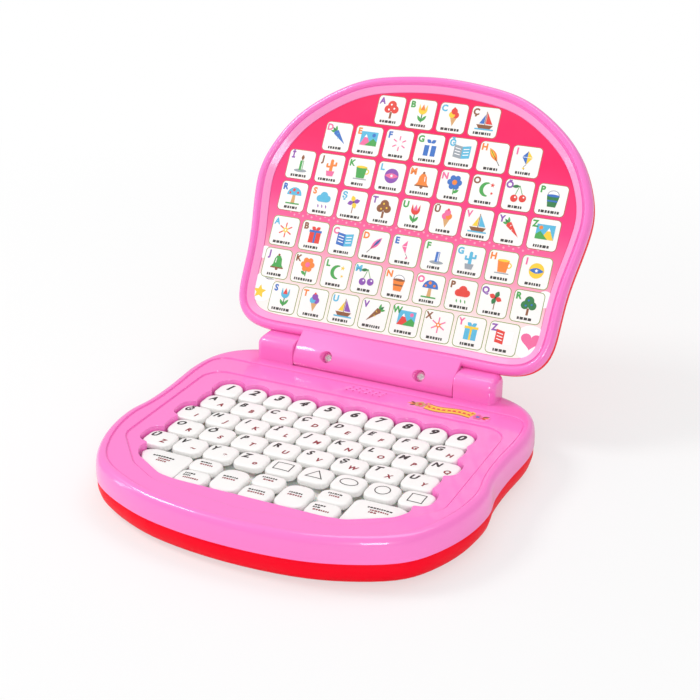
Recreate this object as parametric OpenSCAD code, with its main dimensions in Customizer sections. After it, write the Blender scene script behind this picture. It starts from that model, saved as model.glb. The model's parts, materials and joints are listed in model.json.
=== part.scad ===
// Toy laptop computer: a keyboard base and a hinged lid with a picture card.
// +X is the user's right, +Y the rear, +Z up. The origin is on the ground at the middle
// of the base. The lid is drawn open, at its rest angle.

/* [Overall] */
// Width of the base over its widest part
base_w = 220; // [190:1:270]
// Depth of the base from front edge to rear edge
base_d = 200; // [176:1:240]
// Height of the base's raised rim above the ground
base_h = 27.6; // [27:0.2:34]
// Angle between the open lid's face and the base
open_angle = 122; // [95:1:130]

/* [Base shells] */
// Wall thickness of all four plastic shells
wall = 2.2; // [1.8:0.1:2.8]
// Height of the red bottom shell, up to the seam
seam_h = 14; // [12:0.5:17]
// Width of the raised rim that runs round the base
rim_w = 5.9; // [5.7:0.1:8]
// Depth of the step from the rim down to the deck
rim_step = 0.8; // [0.4:0.1:1.2]
// Depth of the sunken field round the keys
field_step = 0.8; // [0.4:0.1:1.4]

/* [Keys] */
// Sideways pitch of the number keys, as a share of the base's width
number_share = 0.074; // [0.066:0.001:0.076]
// Front-to-back pitch of the key rows, as a share of the base's depth
row_share = 0.087; // [0.078:0.001:0.089]
// How far behind the middle of the base the first letter row lies, as a share of the depth
letter_share = 0.099; // [0.09:0.001:0.102]
// Gap between neighbouring keys
key_gap = 1.2; // [0.8:0.1:1.8]
// Gap between the keys and the edge of the key opening
key_clear = 1.3; // [0.8:0.1:1.8]
// Thickness of a key above its plunger
key_t = 4; // [3:0.2:4.4]
// How far a key can be pressed
key_travel = 1.2; // [0.8:0.1:1.5]
// How far the key tops lie below the field round them
key_sink = 1.6; // [0.4:0.2:2]

/* [Hinge] */
// Radius of the hinge barrel and posts
hinge_r = 9.5; // [8:0.5:10.5]
// Distance of the hinge line from the rear edge of the base
hinge_back = 14.2; // [13:0.1:18]
// Length of the lid's hinge barrel
barrel_l = 103.4; // [80:0.2:106]
// Length of each hinge post on the base
post_l = 25; // [20:0.5:25.5]
// Radius of the two hinge pins
pin_r = 2; // [1.5:0.1:2.5]
// Length of each hinge pin
pin_l = 24; // [18:1:28]
// Running clearance of the pins in the posts
pin_clear = 0.06; // [0.03:0.01:0.1]

/* [Lid] */
// How far the lid's front edge stays behind the base's front edge when shut
lid_lip = 4.2; // [2:0.2:8]
// Height of the lid's raised ring above the hinge line's plane
lid_ring = 3.8; // [3:0.2:5]
// Depth from the hinge line's plane to the lid's seam
lid_seam = 3.2; // [2.6:0.2:4]
// Depth from the hinge line's plane to the lid's back
lid_back = 12.2; // [11:0.2:14]
// Depth from the hinge line's plane to the card's face
card_sink = 0.4; // [0.2:0.1:1]
// Thickness of the picture card
card_t = 0.5; // [0.3:0.1:1]
// Gap between the closed lid's ring and the base's rim
shut_gap = 0.5; // [0.3:0.1:1]

/* [Inside] */
// Thickness of the circuit board
board_t = 1.6; // [1:0.2:2]
// Thickness of the keypad's rubber web
web_t = 1.2; // [0.8:0.1:1.6]
// Diameter of one battery
cell_d = 14.3; // [13.5:0.1:14.5]
// Length of one battery
cell_l = 50.5; // [48:0.5:51]
// Diameter of the loudspeaker
speaker_d = 20; // [16:1:20]
// Side-to-side distance of the two lid screws
lid_screw_gap = 60.3; // [50:0.1:66]

/* [Hidden] */

pink = "#ff6ec4";
red = "#e4102c";
eps = 0.01;
steps = 4;                      // points on each stretch of an outline
round_fn = 48;                  // facets drawn on a round part

// ---- outlines ----
// Control points of the base's right side, from the front to the back, in halves of the
// base's width and depth.
base_side = [[0, -1.012], [0.368, -0.976], [0.573, -0.905], [0.807, -0.781],
             [0.908, -0.623], [0.993, -0.384], [1.009, -0.118], [0.973, -0.041],
             [0.97, 0.248], [0.987, 0.425], [0.983, 0.608], [0.93, 0.798],
             [0.758, 0.945], [0.423, 0.996], [0, 1.001]];
// The lid's right side from its top edge to its hinge edge: half widths, and shares of
// its height.
lid_side = [[0, 1.009], [0.32, 0.983], [0.499, 0.966], [0.762, 0.853], [0.895, 0.761],
            [1.009, 0.587], [0.987, 0.522], [0.966, 0.393], [0.94, 0.349],
            [0.933, 0.167], [0.944, 0.081], [0.863, 0.011], [0.726, -0.006],
            [0.455, 0.004], [0.182, -0.002], [0, 0.001]];

// A point on the smooth curve that is drawn towards a, b, c and d in turn.
function smooth(a, b, c, d, t) =
    (pow(1 - t, 3) * a + (3 * pow(t, 3) - 6 * t * t + 4) * b
     + (-3 * pow(t, 3) + 3 * t * t + 3 * t + 1) * c + pow(t, 3) * d) / 6;
function mirror_x(p) = [-p[0], p[1]];
// The closed smooth outline whose right side has the given control points.
function outline(side) =
    let (n = len(side),
         ring = concat(side, [for (i = [n - 2:-1:1]) mirror_x(side[i])]),
         m = len(ring))
    [for (i = [0:m - 1], k = [0:steps - 1])
        smooth(ring[(i + m - 1) % m], ring[i], ring[(i + 1) % m], ring[(i + 2) % m],
               k / steps)];
function unit(v) = v / norm(v);
// The outline moved inwards by d, square to its own edge. turn is 1 for an outline that
// runs anticlockwise and -1 for a clockwise one.
function inset(pts, d, turn) =
    let (n = len(pts))
    [for (i = [0:n - 1])
        let (t = unit(pts[(i + 1) % n] - pts[(i + n - 1) % n]))
        pts[i] + d * turn * [-t[1], t[0]]];

base_pts = [for (p = outline(base_side)) [p[0] * base_w / 2, p[1] * base_d / 2]];
axis_y = base_d / 2 - hinge_back;
lid_foot = hinge_r + 1.2;       // lower edge of the lid, measured from the hinge line
lid_len = axis_y + base_d / 2 - lid_lip;
lid_pts = [for (p = outline(lid_side))
    [p[0] * base_w / 2, lid_foot + p[1] * (lid_len - lid_foot)]];

// A closed band round an outline. profile holds [inset, height] corners, clockwise when
// the inset runs to the right and the height runs up.
module band(pts, profile, turn) {
    n = len(pts);
    m = len(profile);
    rings = [for (q = profile) inset(pts, q[0], turn)];
    corners = [for (i = [0:n - 1], j = [0:m - 1])
        [rings[j][i][0], rings[j][i][1], profile[j][1]]];
    function at(i, j) = (i % n) * m + j % m;
    function facet(a, b, c) = turn > 0 ? [a, c, b] : [a, b, c];
    polyhedron(corners,
        [for (i = [0:n - 1], j = [0:m - 1], half = [0, 1])
            half == 0 ? facet(at(i, j), at(i + 1, j), at(i + 1, j + 1))
                      : facet(at(i, j), at(i + 1, j + 1), at(i, j + 1))],
        convexity = 8);
}

// The outline moved inwards by d, with its corners between those of the bands.
module inner(pts, d, turn) {
    p = inset(pts, d, turn);
    n = len(p);
    polygon([for (i = [0:n - 1]) 0.6 * p[i] + 0.4 * p[(i + 1) % n]]);
}

// A flat plate inside an outline, from height lo to height hi.
module plate(pts, d, turn, lo, hi) {
    translate([0, 0, lo]) linear_extrude(hi - lo) inner(pts, d, turn);
}

// A rectangle with round corners, centred.
module rounded(w, h, r) {
    square([w - 2 * r, h], center = true);
    square([w, h - 2 * r], center = true);
    for (x = [-1, 1], y = [-1, 1])
        translate([x * (w / 2 - r), y * (h / 2 - r)]) circle(r, $fn = round_fn);
}

module tube(r, lo, hi) {
    translate([0, 0, lo]) cylinder(r = r, h = hi - lo, $fn = round_fn);
}

// A cylinder along X, centred on the hinge line.
module axle(r, x0, x1) {
    translate([x0, 0, 0]) rotate([0, 90, 0]) cylinder(r = r, h = x1 - x0, $fn = 64);
}

// ---- heights in the base ----
deck_z = base_h - rim_step;                 // deck between the rim and the key field
field_z = deck_z - field_step;              // field round the keys
deck_under = deck_z - wall;
field_under = field_z - wall;
key_top = field_z - key_sink;
key_bottom = key_top - key_t;
collar_z = key_bottom - key_travel - 0.1;   // rubber collars, just clear of a pressed key
plunger_z = collar_z - 1;                   // lower end of a plunger
web_top = plunger_z - 0.1;
board_top = web_top - web_t;
board_z = board_top - board_t;
axis_z = base_h + shut_gap + lid_ring;

// ---- keys ----
number_pitch = number_share * base_w;
row_pitch = row_share * base_d;
letter_w = [for (k = [0:3]) (k % 2 == 0 ? 1.25 : 1.18) * number_pitch];
letter_n = [8, 9, 8, 9];
number_y = letter_share * base_d + row_pitch;
function letter_y(k) = letter_share * base_d - k * row_pitch;
pair_dx = 1.17 * number_pitch;              // sideways pitch of the function keys
last_y = letter_y(3) - row_pitch / 2;       // front of the last letter row
pair_h = 12.4;                              // rear key of a function pair
pair_front = last_y - pair_h - key_gap;
front_h = 14.4;                             // front key of a function pair
front_y = pair_front - key_gap / 2 - front_h / 2;
wedge_in = 2.5 * pair_dx + key_gap / 2;
wedge_out = 4.95 * number_pitch;
plunger_r = 3;
plunger_clear = 0.3;

module number_shape() {
    w = number_pitch - key_gap;
    h = row_pitch - key_gap;
    translate([0, -w / 4]) rounded(w, h - w / 2, 3.5);
    translate([0, h / 2 - w / 2]) circle(w / 2, $fn = 64);
}

module letter_shape(k) {
    rounded(letter_w[k] - key_gap, row_pitch - key_gap, 5);
}

// The ten function keys: two corner wedges, three pairs and two single keys.
function function_place(i) =
    i == 1 ? [-(wedge_in + wedge_out) / 2, last_y - 11] :
    i == 10 ? [(wedge_in + wedge_out) / 2, last_y - 11] :
    i == 4 || i == 7 ? [(i == 4 ? -1 : 1) * pair_dx, last_y - 15.2] :
    [(i < 4 ? -2 : i < 7 ? 0 : 2) * pair_dx,
     i % 3 == 2 ? last_y - key_gap - pair_h / 2 : front_y];

module function_shape(i) {
    if (i == 1 || i == 10)
        mirror([i == 10 ? 1 : 0, 0]) wedge_shape();
    else if (i == 4 || i == 7)
        rounded(pair_dx - 1.6, 23, 7);
    else
        rounded(pair_dx - key_gap, i % 3 == 2 ? pair_h : front_h, 4.5);
}

module wedge_shape() {
    w = wedge_out - wedge_in;
    top = 11 - key_gap;
    low = front_y - front_h / 2 - (last_y - 11);
    offset(r = 4, $fn = 32) offset(delta = -4)
        polygon([[-w / 2, 0.7 * top], [-w / 4, top], [w / 2, top], [w / 2, low],
                 [0.42 * w, low], [-0.31 * w, 0.2 * low]]);
}

// Every key's place and a 2-D drawing of its shape.
module number_at(i) {
    translate([(i - 4.5) * number_pitch, number_y]) children();
}
module letter_at(k, i) {
    translate([(i - (letter_n[k] - 1) / 2) * letter_w[k], letter_y(k)]) children();
}
module function_at(i) {
    translate(function_place(i)) children();
}
module every_key_shape() {
    for (i = [0:9]) number_at(i) number_shape();
    for (k = [0:3], i = [0:letter_n[k] - 1]) letter_at(k, i) letter_shape(k);
    for (i = [1:10]) function_at(i) function_shape(i);
}
module every_key_place() {
    for (i = [0:9]) number_at(i) children();
    for (k = [0:3], i = [0:letter_n[k] - 1]) letter_at(k, i) children();
    for (i = [1:10]) function_at(i) children();
}
// The hole in the deck: it follows the keys, with a smooth front edge.
module key_opening(grow = 0) {
    offset(r = key_clear + 0.6 + grow, $fn = 32) offset(r = -0.6, $fn = 32) {
        every_key_shape();
        hull() for (i = [1, 3, 6, 9, 10]) function_at(i) function_shape(i);
        for (k = [0:3]) translate([0, letter_y(k)])
            square([(letter_n[k] - 1) * letter_w[k], row_pitch + 4], center = true);
    }
}
// One key: a cap with a gently domed top, on a round plunger.
module key_body(reach) {
    dome = 90;
    intersection() {
        translate([0, 0, key_bottom]) linear_extrude(key_t) children();
        translate([0, 0, key_top - dome]) sphere(dome, $fn = 128);
    }
    tube(plunger_r, plunger_z, key_bottom + 1);
}

// ---- base ----
// Places of the case screws, board screws and board pillars on the right side
case_screws_at = [[0.76 * base_w / 2, 0.64 * base_d / 2], [50, base_d / 2 - 34],
                  [0.66 * base_w / 2, -0.715 * base_d / 2],
                  [0.41 * base_w / 2, -0.845 * base_d / 2]];
board_screws_at = [[60, number_y + row_pitch / 2 + 8.7], [24, front_y - front_h / 2 - 8.8]];
pillars_at = [[40, letter_y(1)], [70, letter_y(3)], [0, letter_y(2)]];
case_seat = 3.6;                // a case screw's head sits at this height
case_meet = 6;                  // where the two shells' screw bosses meet
cell_pitch = cell_d + 0.4;
bay_mid_y = base_d / 2 - 33;
bay_w = cell_l + 8.6;           // room for the cells, springs and plates
bay_d = 3 * cell_pitch;
bay_floor = 2.3;                // the cells rest at this height
door_t = 1.8;
cell_z = bay_floor + cell_d / 2;
speaker_x = 3;
speaker_y = base_d / 2 - 36;
speaker_z = deck_under - 6;
trough_clear = 0.6;
crease_y = base_d / 2 - 30;     // the deck ends here, in front of the hinge

module both_sides() {
    for (s = [-1, 1]) scale([s, 1, 1]) children();
}
module at_each(places) {
    for (p = places, s = [-1, 1]) translate([s * p[0], p[1], 0]) children();
}

module base_bottom_shell() color(red) {
    low = [[0.3, seam_h], [2.4, seam_h], [2.4, seam_h + 2], [wall + 1.7, seam_h + 2],
           [wall + 1.6, seam_h - 2], [wall + 1.8, 8.5], [wall + 2.7, 5.2],
           [wall + 4.7, wall + 0.8], [wall + 6.4, wall - 0.3], [11, wall - 0.4], [11, 0.4],
           [8, 0.3], [6, 0.6], [3.6, 2.2], [1.5, 5.2], [0.4, 9]];
    difference() {
        union() {
            band(base_pts, low, 1);
            plate(base_pts, 7.5, 1, 0, wall);
            at_each(case_screws_at) tube(5, wall / 2, case_meet);
            at_each(pillars_at) tube(2.2, wall / 2, board_z);
            translate([0, bay_mid_y, 0]) bay_walls();
        }
        at_each(case_screws_at) {
            tube(3.2, -1, case_seat);
            tube(1.7, 0, case_meet + 1);
        }
        translate([0, bay_mid_y, 0]) bay_hole();
    }
}
module bay_walls() {
    translate([0, 0, wall / 2]) linear_extrude(14 - wall / 2)
        difference() {
            square([bay_w + 3, bay_d + 3], center = true);
            square([bay_w, bay_d], center = true);
        }
    // The screw boss beside the bay
    translate([bay_w / 2 + 7, 0, 0]) tube(4, wall / 2, 9);
}
module bay_hole() {
    translate([0, 0, -1]) linear_extrude(1 + wall + eps)
        square([bay_w, bay_d], center = true);
    translate([0, 0, -1]) linear_extrude(1 + door_t + 0.2) door_shape(0.3);
    translate([bay_w / 2 + 7, 0, 0]) tube(1.3, 0, 8);
}
module door_shape(grow) {
    offset(delta = grow) {
        square([bay_w + 1.2, bay_d + 1.2], center = true);
        translate([bay_w / 2 + 6, 0]) rounded(12, 10, 3);
    }
}
module battery_door() color(red) translate([0, bay_mid_y, 0.2]) {
    difference() {
        union() {
            linear_extrude(door_t) door_shape(0);
            // Legs that guide the door into the bay
            for (x = [-1, 1], y = [-1, 1])
                translate([x * (bay_w / 2 - 1.2), y * bay_d / 4, door_t / 2])
                    linear_extrude(2.2) square([1.4, 8], center = true);
        }
        translate([bay_w / 2 + 7, 0, 0]) {
            tube(2.6, -1, 0.8);
            tube(1.5, -1, door_t + 1);
        }
        // Finger grooves
        for (i = [-2:2]) translate([-bay_w / 4 + i * 3.2, 0, -1])
            linear_extrude(1.5) square([1.2, 16], center = true);
    }
}
module pan_screw(head_r, head_h, shank_r, shank_l) {
    tube(head_r, -head_h, 0);
    tube(shank_r, -eps, shank_l);
}
module door_screw() color("silver")
    translate([bay_w / 2 + 7, bay_mid_y, 1]) pan_screw(2.4, 0.8, 1.2, 6);
module case_screws() color("silver")
    at_each(case_screws_at) translate([0, 0, case_seat]) pan_screw(2.8, 1.8, 1.25, 10);

module base_top_shell() color(pink) {
    top = [[0, seam_h], [0.1, base_h - 7.6], [0.6, base_h - 3.8], [1.4, base_h - 1.9],
           [2.7, base_h - 0.6], [4.4, base_h - 0.12], [5.3, base_h - 0.4],
           [5.3, base_h - wall + 0.7], [4, base_h - wall + 0.35],
           [3, base_h - wall - 1.4], [wall + 0.1, base_h - 6.5], [wall, seam_h]];
    difference() {
        union() {
            band(base_pts, top, 1);
            // Rim, deck and sunken field, each a plate with a hole for the next
            translate([0, 0, base_h - wall]) linear_extrude(wall) difference() {
                inner(base_pts, 4.5, 1);
                crease();
            }
            translate([0, 0, deck_under]) linear_extrude(wall) difference() {
                offset(delta = 0.4) crease();
                key_field();
            }
            translate([0, 0, field_under]) linear_extrude(wall)
                offset(delta = 0.4) key_field();
            // Wall round the key opening, down to the rubber mat
            translate([0, 0, web_top + 0.15]) linear_extrude(field_z - web_top - 0.8)
                key_opening(1.6);
            at_each(case_screws_at) tube(3.8, case_meet + 0.2, base_h - 1.2);
            at_each(board_screws_at) tube(2.8, board_top, deck_under + 0.4);
            translate([speaker_x, speaker_y, 0]) speaker_ring();
            translate([0, axis_y, axis_z]) trough();
            translate([0, axis_y, 0]) both_sides() post();
        }
        translate([0, 0, web_top]) linear_extrude(wall + field_z) key_opening();
        at_each(case_screws_at) tube(1.3, case_meet, 17);
        at_each(board_screws_at) tube(1.05, board_top - 1, field_under - 0.4);
        translate([speaker_x, speaker_y + 0.5, 0]) sound_holes();
        translate([0, axis_y, axis_z])
            axle(hinge_r + trough_clear, -barrel_l / 2 - 0.4, barrel_l / 2 + 0.4);
        translate([0, axis_y, axis_z]) both_sides()
            axle(pin_r + pin_clear, barrel_l / 2, barrel_l / 2 + 0.4 + pin_l / 2 + 1);
    }
}
// Edge of the deck: it follows the base's outline and ends in front of the hinge.
module crease() {
    offset(r = 11, $fn = 48) offset(delta = -11) intersection() {
        inner(base_pts, rim_w, 1);
        translate([-base_w, crease_y - 2 * base_d]) square(2 * [base_w, base_d]);
    }
}
// The sunken field round the keys
module key_field() {
    x = 5.85 * number_pitch;
    side = [[x, letter_y(2) - 25], [0.76 * x, front_y - 3.5], [0.56 * x, front_y - 14.5],
            [0, front_y - 21], [-0.56 * x, front_y - 14.5], [-0.76 * x, front_y - 3.5],
            [-x, letter_y(2) - 25]];
    rear = number_y + row_pitch / 2 + 7.5;
    offset(r = 13, $fn = 48) offset(delta = -13)
        polygon(concat(side, [[-x, rear], [x, rear]]));
}
module speaker_ring() {
    translate([0, 0, speaker_z + 1.5]) linear_extrude(deck_under - speaker_z - 1)
        difference() {
            circle(speaker_d / 2 + 1.8, $fn = 64);
            circle(speaker_d / 2 + 0.3, $fn = 64);
        }
}
// Small sound holes in the deck, in three staggered rows
module sound_holes() {
    for (row = [-1:1], i = [-2.5:2.5])
        translate([i * 4.2 + row * 1.2, row * 2.4, 0])
            tube(0.6, field_under - 1, deck_z + 1);
}
// Half-round trough that the lid's barrel turns in
module trough() {
    intersection() {
        axle(hinge_r + trough_clear + 1.8, -barrel_l / 2 - 2, barrel_l / 2 + 2);
        translate([-barrel_l / 2 - 2, -hinge_r - 4, deck_z - 0.5 - axis_z - hinge_r])
            cube([barrel_l + 4, 2 * hinge_r + 5, hinge_r]);
    }
}
// A hinge post: round over the hinge line and upright below it, with a soft outer end
module post() {
    x0 = barrel_l / 2 + 0.4;
    soft = 5;
    foot = axis_z - base_h + wall - 0.4;
    intersection() {
        translate([x0, 0, axis_z]) rotate([90, 0, 90]) linear_extrude(post_l) {
            circle(hinge_r, $fn = 64);
            translate([-hinge_r + 0.05, -foot]) square([2 * hinge_r - 0.1, foot]);
        }
        translate([x0, 0, 0]) linear_extrude(2 * axis_z)
            rounded(2 * post_l, 2 * hinge_r + 0.2, soft);
        translate([x0, 2 * hinge_r, 0]) rotate([90, 0, 0]) linear_extrude(4 * hinge_r)
            rounded(2 * post_l, 2 * (axis_z + hinge_r), soft);
    }
}

module keypad_mat() color("#f4f2ea") difference() {
    union() {
        translate([0, 0, board_top]) linear_extrude(web_t) key_opening(3.5);
        every_key_place() tube(plunger_r + plunger_clear + 1.1, board_top + eps, collar_z);
    }
    every_key_place() tube(plunger_r + plunger_clear, board_top - 1, collar_z + 1);
}
module circuit_board() color("#1f6b3a") difference() {
    front = front_y - front_h / 2 - 13;
    translate([0, 0, board_z]) linear_extrude(board_t) difference() {
        x = 5.3 * number_pitch;
        rear = number_y + row_pitch / 2 + 12;
        polygon([[-x, letter_y(3)], [-0.7 * x, front + 14], [-0.35 * x, front],
                 [0.35 * x, front], [0.7 * x, front + 14], [x, letter_y(3)],
                 [x, number_y + 3], [0.8 * x, rear], [-0.8 * x, rear],
                 [-x, number_y + 3]]);
        translate([0, bay_mid_y]) square([bay_w + 5, bay_d + 5], center = true);
    }
    at_each(board_screws_at) tube(1.3, board_z - 1, board_top + 1);
}
module sound_chip() color("#181818") translate([-24, letter_y(1), board_z])
    rotate_extrude($fn = 64) polygon([[0, 0], [10, 0], [8.5, -1.2], [5, -2], [0, -2.3]]);
module board_screws() color("silver")
    at_each(board_screws_at) translate([0, 0, board_z]) pan_screw(2.2, 1.4, 1, 6);

module speaker_frame() color("dimgray") translate([speaker_x, speaker_y, 0]) difference() {
    union() {
        tube(speaker_d / 2, speaker_z + 3, deck_under);
        tube(speaker_d / 3, speaker_z, speaker_z + 3);
    }
    tube(speaker_d / 2 - 1.5, speaker_z + 4, deck_under + 1);
}
module speaker_cone() color("#2b2b2b") translate([speaker_x, speaker_y, speaker_z + 4])
    rotate_extrude($fn = 64)
        polygon([[0, 0], [3, 0], [speaker_d / 2 - 1.6, 1.2], [speaker_d / 2 - 1.6, 1.6],
                 [3, 0.5], [0, 0.8]]);

// Every other battery lies the other way round.
module each_cell() {
    for (i = [-1:1]) translate([0, bay_mid_y + i * cell_pitch, cell_z])
        scale([i == 0 ? -1 : 1, 1, 1]) children();
}
module batteries() color("#8fb3c9") each_cell() {
    axle(cell_d / 2, -cell_l / 2 + 0.5, cell_l / 2 - 1.2);
    axle(2.7, cell_l / 2 - 1.3, cell_l / 2);
    axle(4.5, -cell_l / 2, -cell_l / 2 + 0.6);
}
spring_l = (bay_w - cell_l) / 2 - 0.8;
module battery_springs() color("silver") each_cell()
    for (k = [0:2]) translate([-cell_l / 2 - 0.5 - k * (spring_l - 1) / 2, 0, 0])
        rotate([0, 90, 0]) rotate_extrude($fn = 32)
            translate([2.6 + k * 0.8, 0]) circle(0.45, $fn = 16);
module battery_plates() color("silver") each_cell()
    for (s = [-1, 1]) translate([s * (bay_w / 2 - 0.3), 0, 0.8])
        cube([0.5, 11, 12.4], center = true);

module deck_sticker() color("#ff8a1e")
    translate([0.506 * base_w / 2, base_d / 2 - 38.5, deck_z])
        linear_extrude(0.2) rounded(50, 10, 4.5);

// ---- lid, drawn flat with its face up and the hinge line at the origin ----
module lid_place() {
    translate([0, axis_y, axis_z]) rotate([180 - open_angle, 0, 0]) children();
}
card_z = -card_sink;
floor_z = card_z - card_t;
floor_t = 1.8;
card_in = 10.2;
ring_in = 9.8;
screw_seat = 4;

module lid_front_shell() color(pink) lid_place() {
    ring = [[0, -lid_seam], [0, 0.4], [0.6, lid_ring - 1.6], [1.7, lid_ring - 0.4],
            [3.2, lid_ring], [4.5, lid_ring - 0.4], [5.3, lid_ring - 1.4],
            [5.8, lid_ring - 1.2], [ring_in, card_z + 0.4], [ring_in, floor_z - 0.4],
            [ring_in + 1.5, floor_z - 0.4], [ring_in + 1.5, floor_z - floor_t + 0.4],
            [7, floor_z - floor_t + 0.4], [5, 0.2], [wall + 0.8, lid_ring - 2.4],
            [wall, 0], [wall, -lid_seam]];
    difference() {
        union() {
            band(lid_pts, ring, -1);
            plate(lid_pts, ring_in - 1.2, -1, floor_z - floor_t, floor_z);
            intersection() {
                axle(hinge_r, -barrel_l / 2, barrel_l / 2);
                translate([-barrel_l, -2 * hinge_r, -lid_seam])
                    cube([2 * barrel_l, 4 * hinge_r, 4 * hinge_r]);
            }
            translate([-barrel_l / 2, 2, -lid_seam + 0.3])
                cube([barrel_l, lid_foot - 0.3, lid_seam + lid_ring - 1.3]);
        }
        lid_screw_places() {
            tube(3.5, screw_seat, hinge_r + 1);
            tube(1.6, -lid_seam - 1, screw_seat + 1);
        }
        both_sides() axle(pin_r + 0.02, barrel_l / 2 - pin_l / 2, barrel_l / 2 + 1);
    }
}
module lid_screw_places() {
    for (s = [-1, 1]) translate([s * lid_screw_gap / 2, 0, 0]) children();
}
module lid_back_shell() color(red) lid_place() {
    bowl = [[1.2, -lid_seam], [2.4, -lid_seam], [2.4, -lid_seam + 1.8],
            [wall + 1.7, -lid_seam + 1.8], [wall + 1.5, -lid_seam - 2],
            [wall + 1.9, -lid_back + 4.6], [wall + 3.4, -lid_back + 2.9],
            [8.4, -lid_back + wall], [10.5, -lid_back + wall - 0.4],
            [10.5, -lid_back + 0.4], [8.5, -lid_back + 0.15], [4.9, -lid_back + 1.4],
            [2.6, -lid_back + 3.6], [1.4, -lid_back + 6.2]];
    difference() {
        union() {
            band(lid_pts, bowl, -1);
            plate(lid_pts, 8, -1, -lid_back, -lid_back + wall - 0.2);
            intersection() {
                axle(hinge_r, -barrel_l / 2, barrel_l / 2);
                translate([-barrel_l, -2 * hinge_r, -4 * hinge_r])
                    cube([2 * barrel_l, 4 * hinge_r, 4 * hinge_r - lid_seam]);
            }
            translate([-barrel_l / 2, 2, -hinge_r + 0.5])
                cube([barrel_l, lid_foot + 1, hinge_r - 0.8 - lid_seam]);
        }
        lid_screw_places() tube(1.25, -hinge_r + 1.5, 0);
    }
}
module picture_card() color("#ff4f8e") lid_place()
    plate(lid_pts, card_in, -1, floor_z, card_z);
module lid_screws() color("silver") lid_place() lid_screw_places()
    translate([0, 0, screw_seat]) rotate([180, 0, 0]) pan_screw(2.7, 1.8, 1.2, 10.5);
module hinge_pin(side) color("silver") lid_place()
    scale([side, 1, 1]) axle(pin_r, (barrel_l - pin_l) / 2 + 0.3, (barrel_l + pin_l) / 2);

// ---- one key node each ----
module key_colour() color("#fbfbf7") children();
module number_key(i) key_colour() number_at((i + 9) % 10) key_body() number_shape();
module letter_key(k, i) key_colour() letter_at(k, i) key_body() letter_shape(k);
module letter_row(k) for (i = [0:letter_n[k] - 1]) letter_key(k, i);
module function_key(i) key_colour() function_at(i) key_body() function_shape(i);

base_bottom_shell();
base_top_shell();
keypad_mat();
circuit_board();
sound_chip();
board_screws();
speaker_frame();
speaker_cone();
batteries();
battery_springs();
battery_plates();
battery_door();
door_screw();
case_screws();
deck_sticker();
lid_front_shell();
lid_back_shell();
picture_card();
lid_screws();
hinge_pin(-1);  // hinge_pin_left
hinge_pin(1);  // hinge_pin_right
for (i = [0:9]) number_key(i);
letter_row(0);  // letter_keys_row_a
letter_row(1);  // letter_keys_row_b
letter_row(2);  // letter_keys_row_c
for (i = [1:4]) letter_key(3, i - 1);
letter_key(3, 4);  // shape_key_rectangle
letter_key(3, 5);  // shape_key_triangle
letter_key(3, 6);  // shape_key_oval
letter_key(3, 7);  // shape_key_circle
letter_key(3, 8);  // shape_key_square
for (i = [1:10]) function_key(i);
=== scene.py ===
# %% [markdown]
# # A toy laptop computer
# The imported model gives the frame: every moulding, key, screw and pin has its place and its
# body there. This file gives those pieces their looks. Everything is in metres, with +X along
# the hinge to the user's right, +Y to the rear and +Z up. Sizes are written in millimetres and
# turned into metres at the moment a mesh is made.

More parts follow.
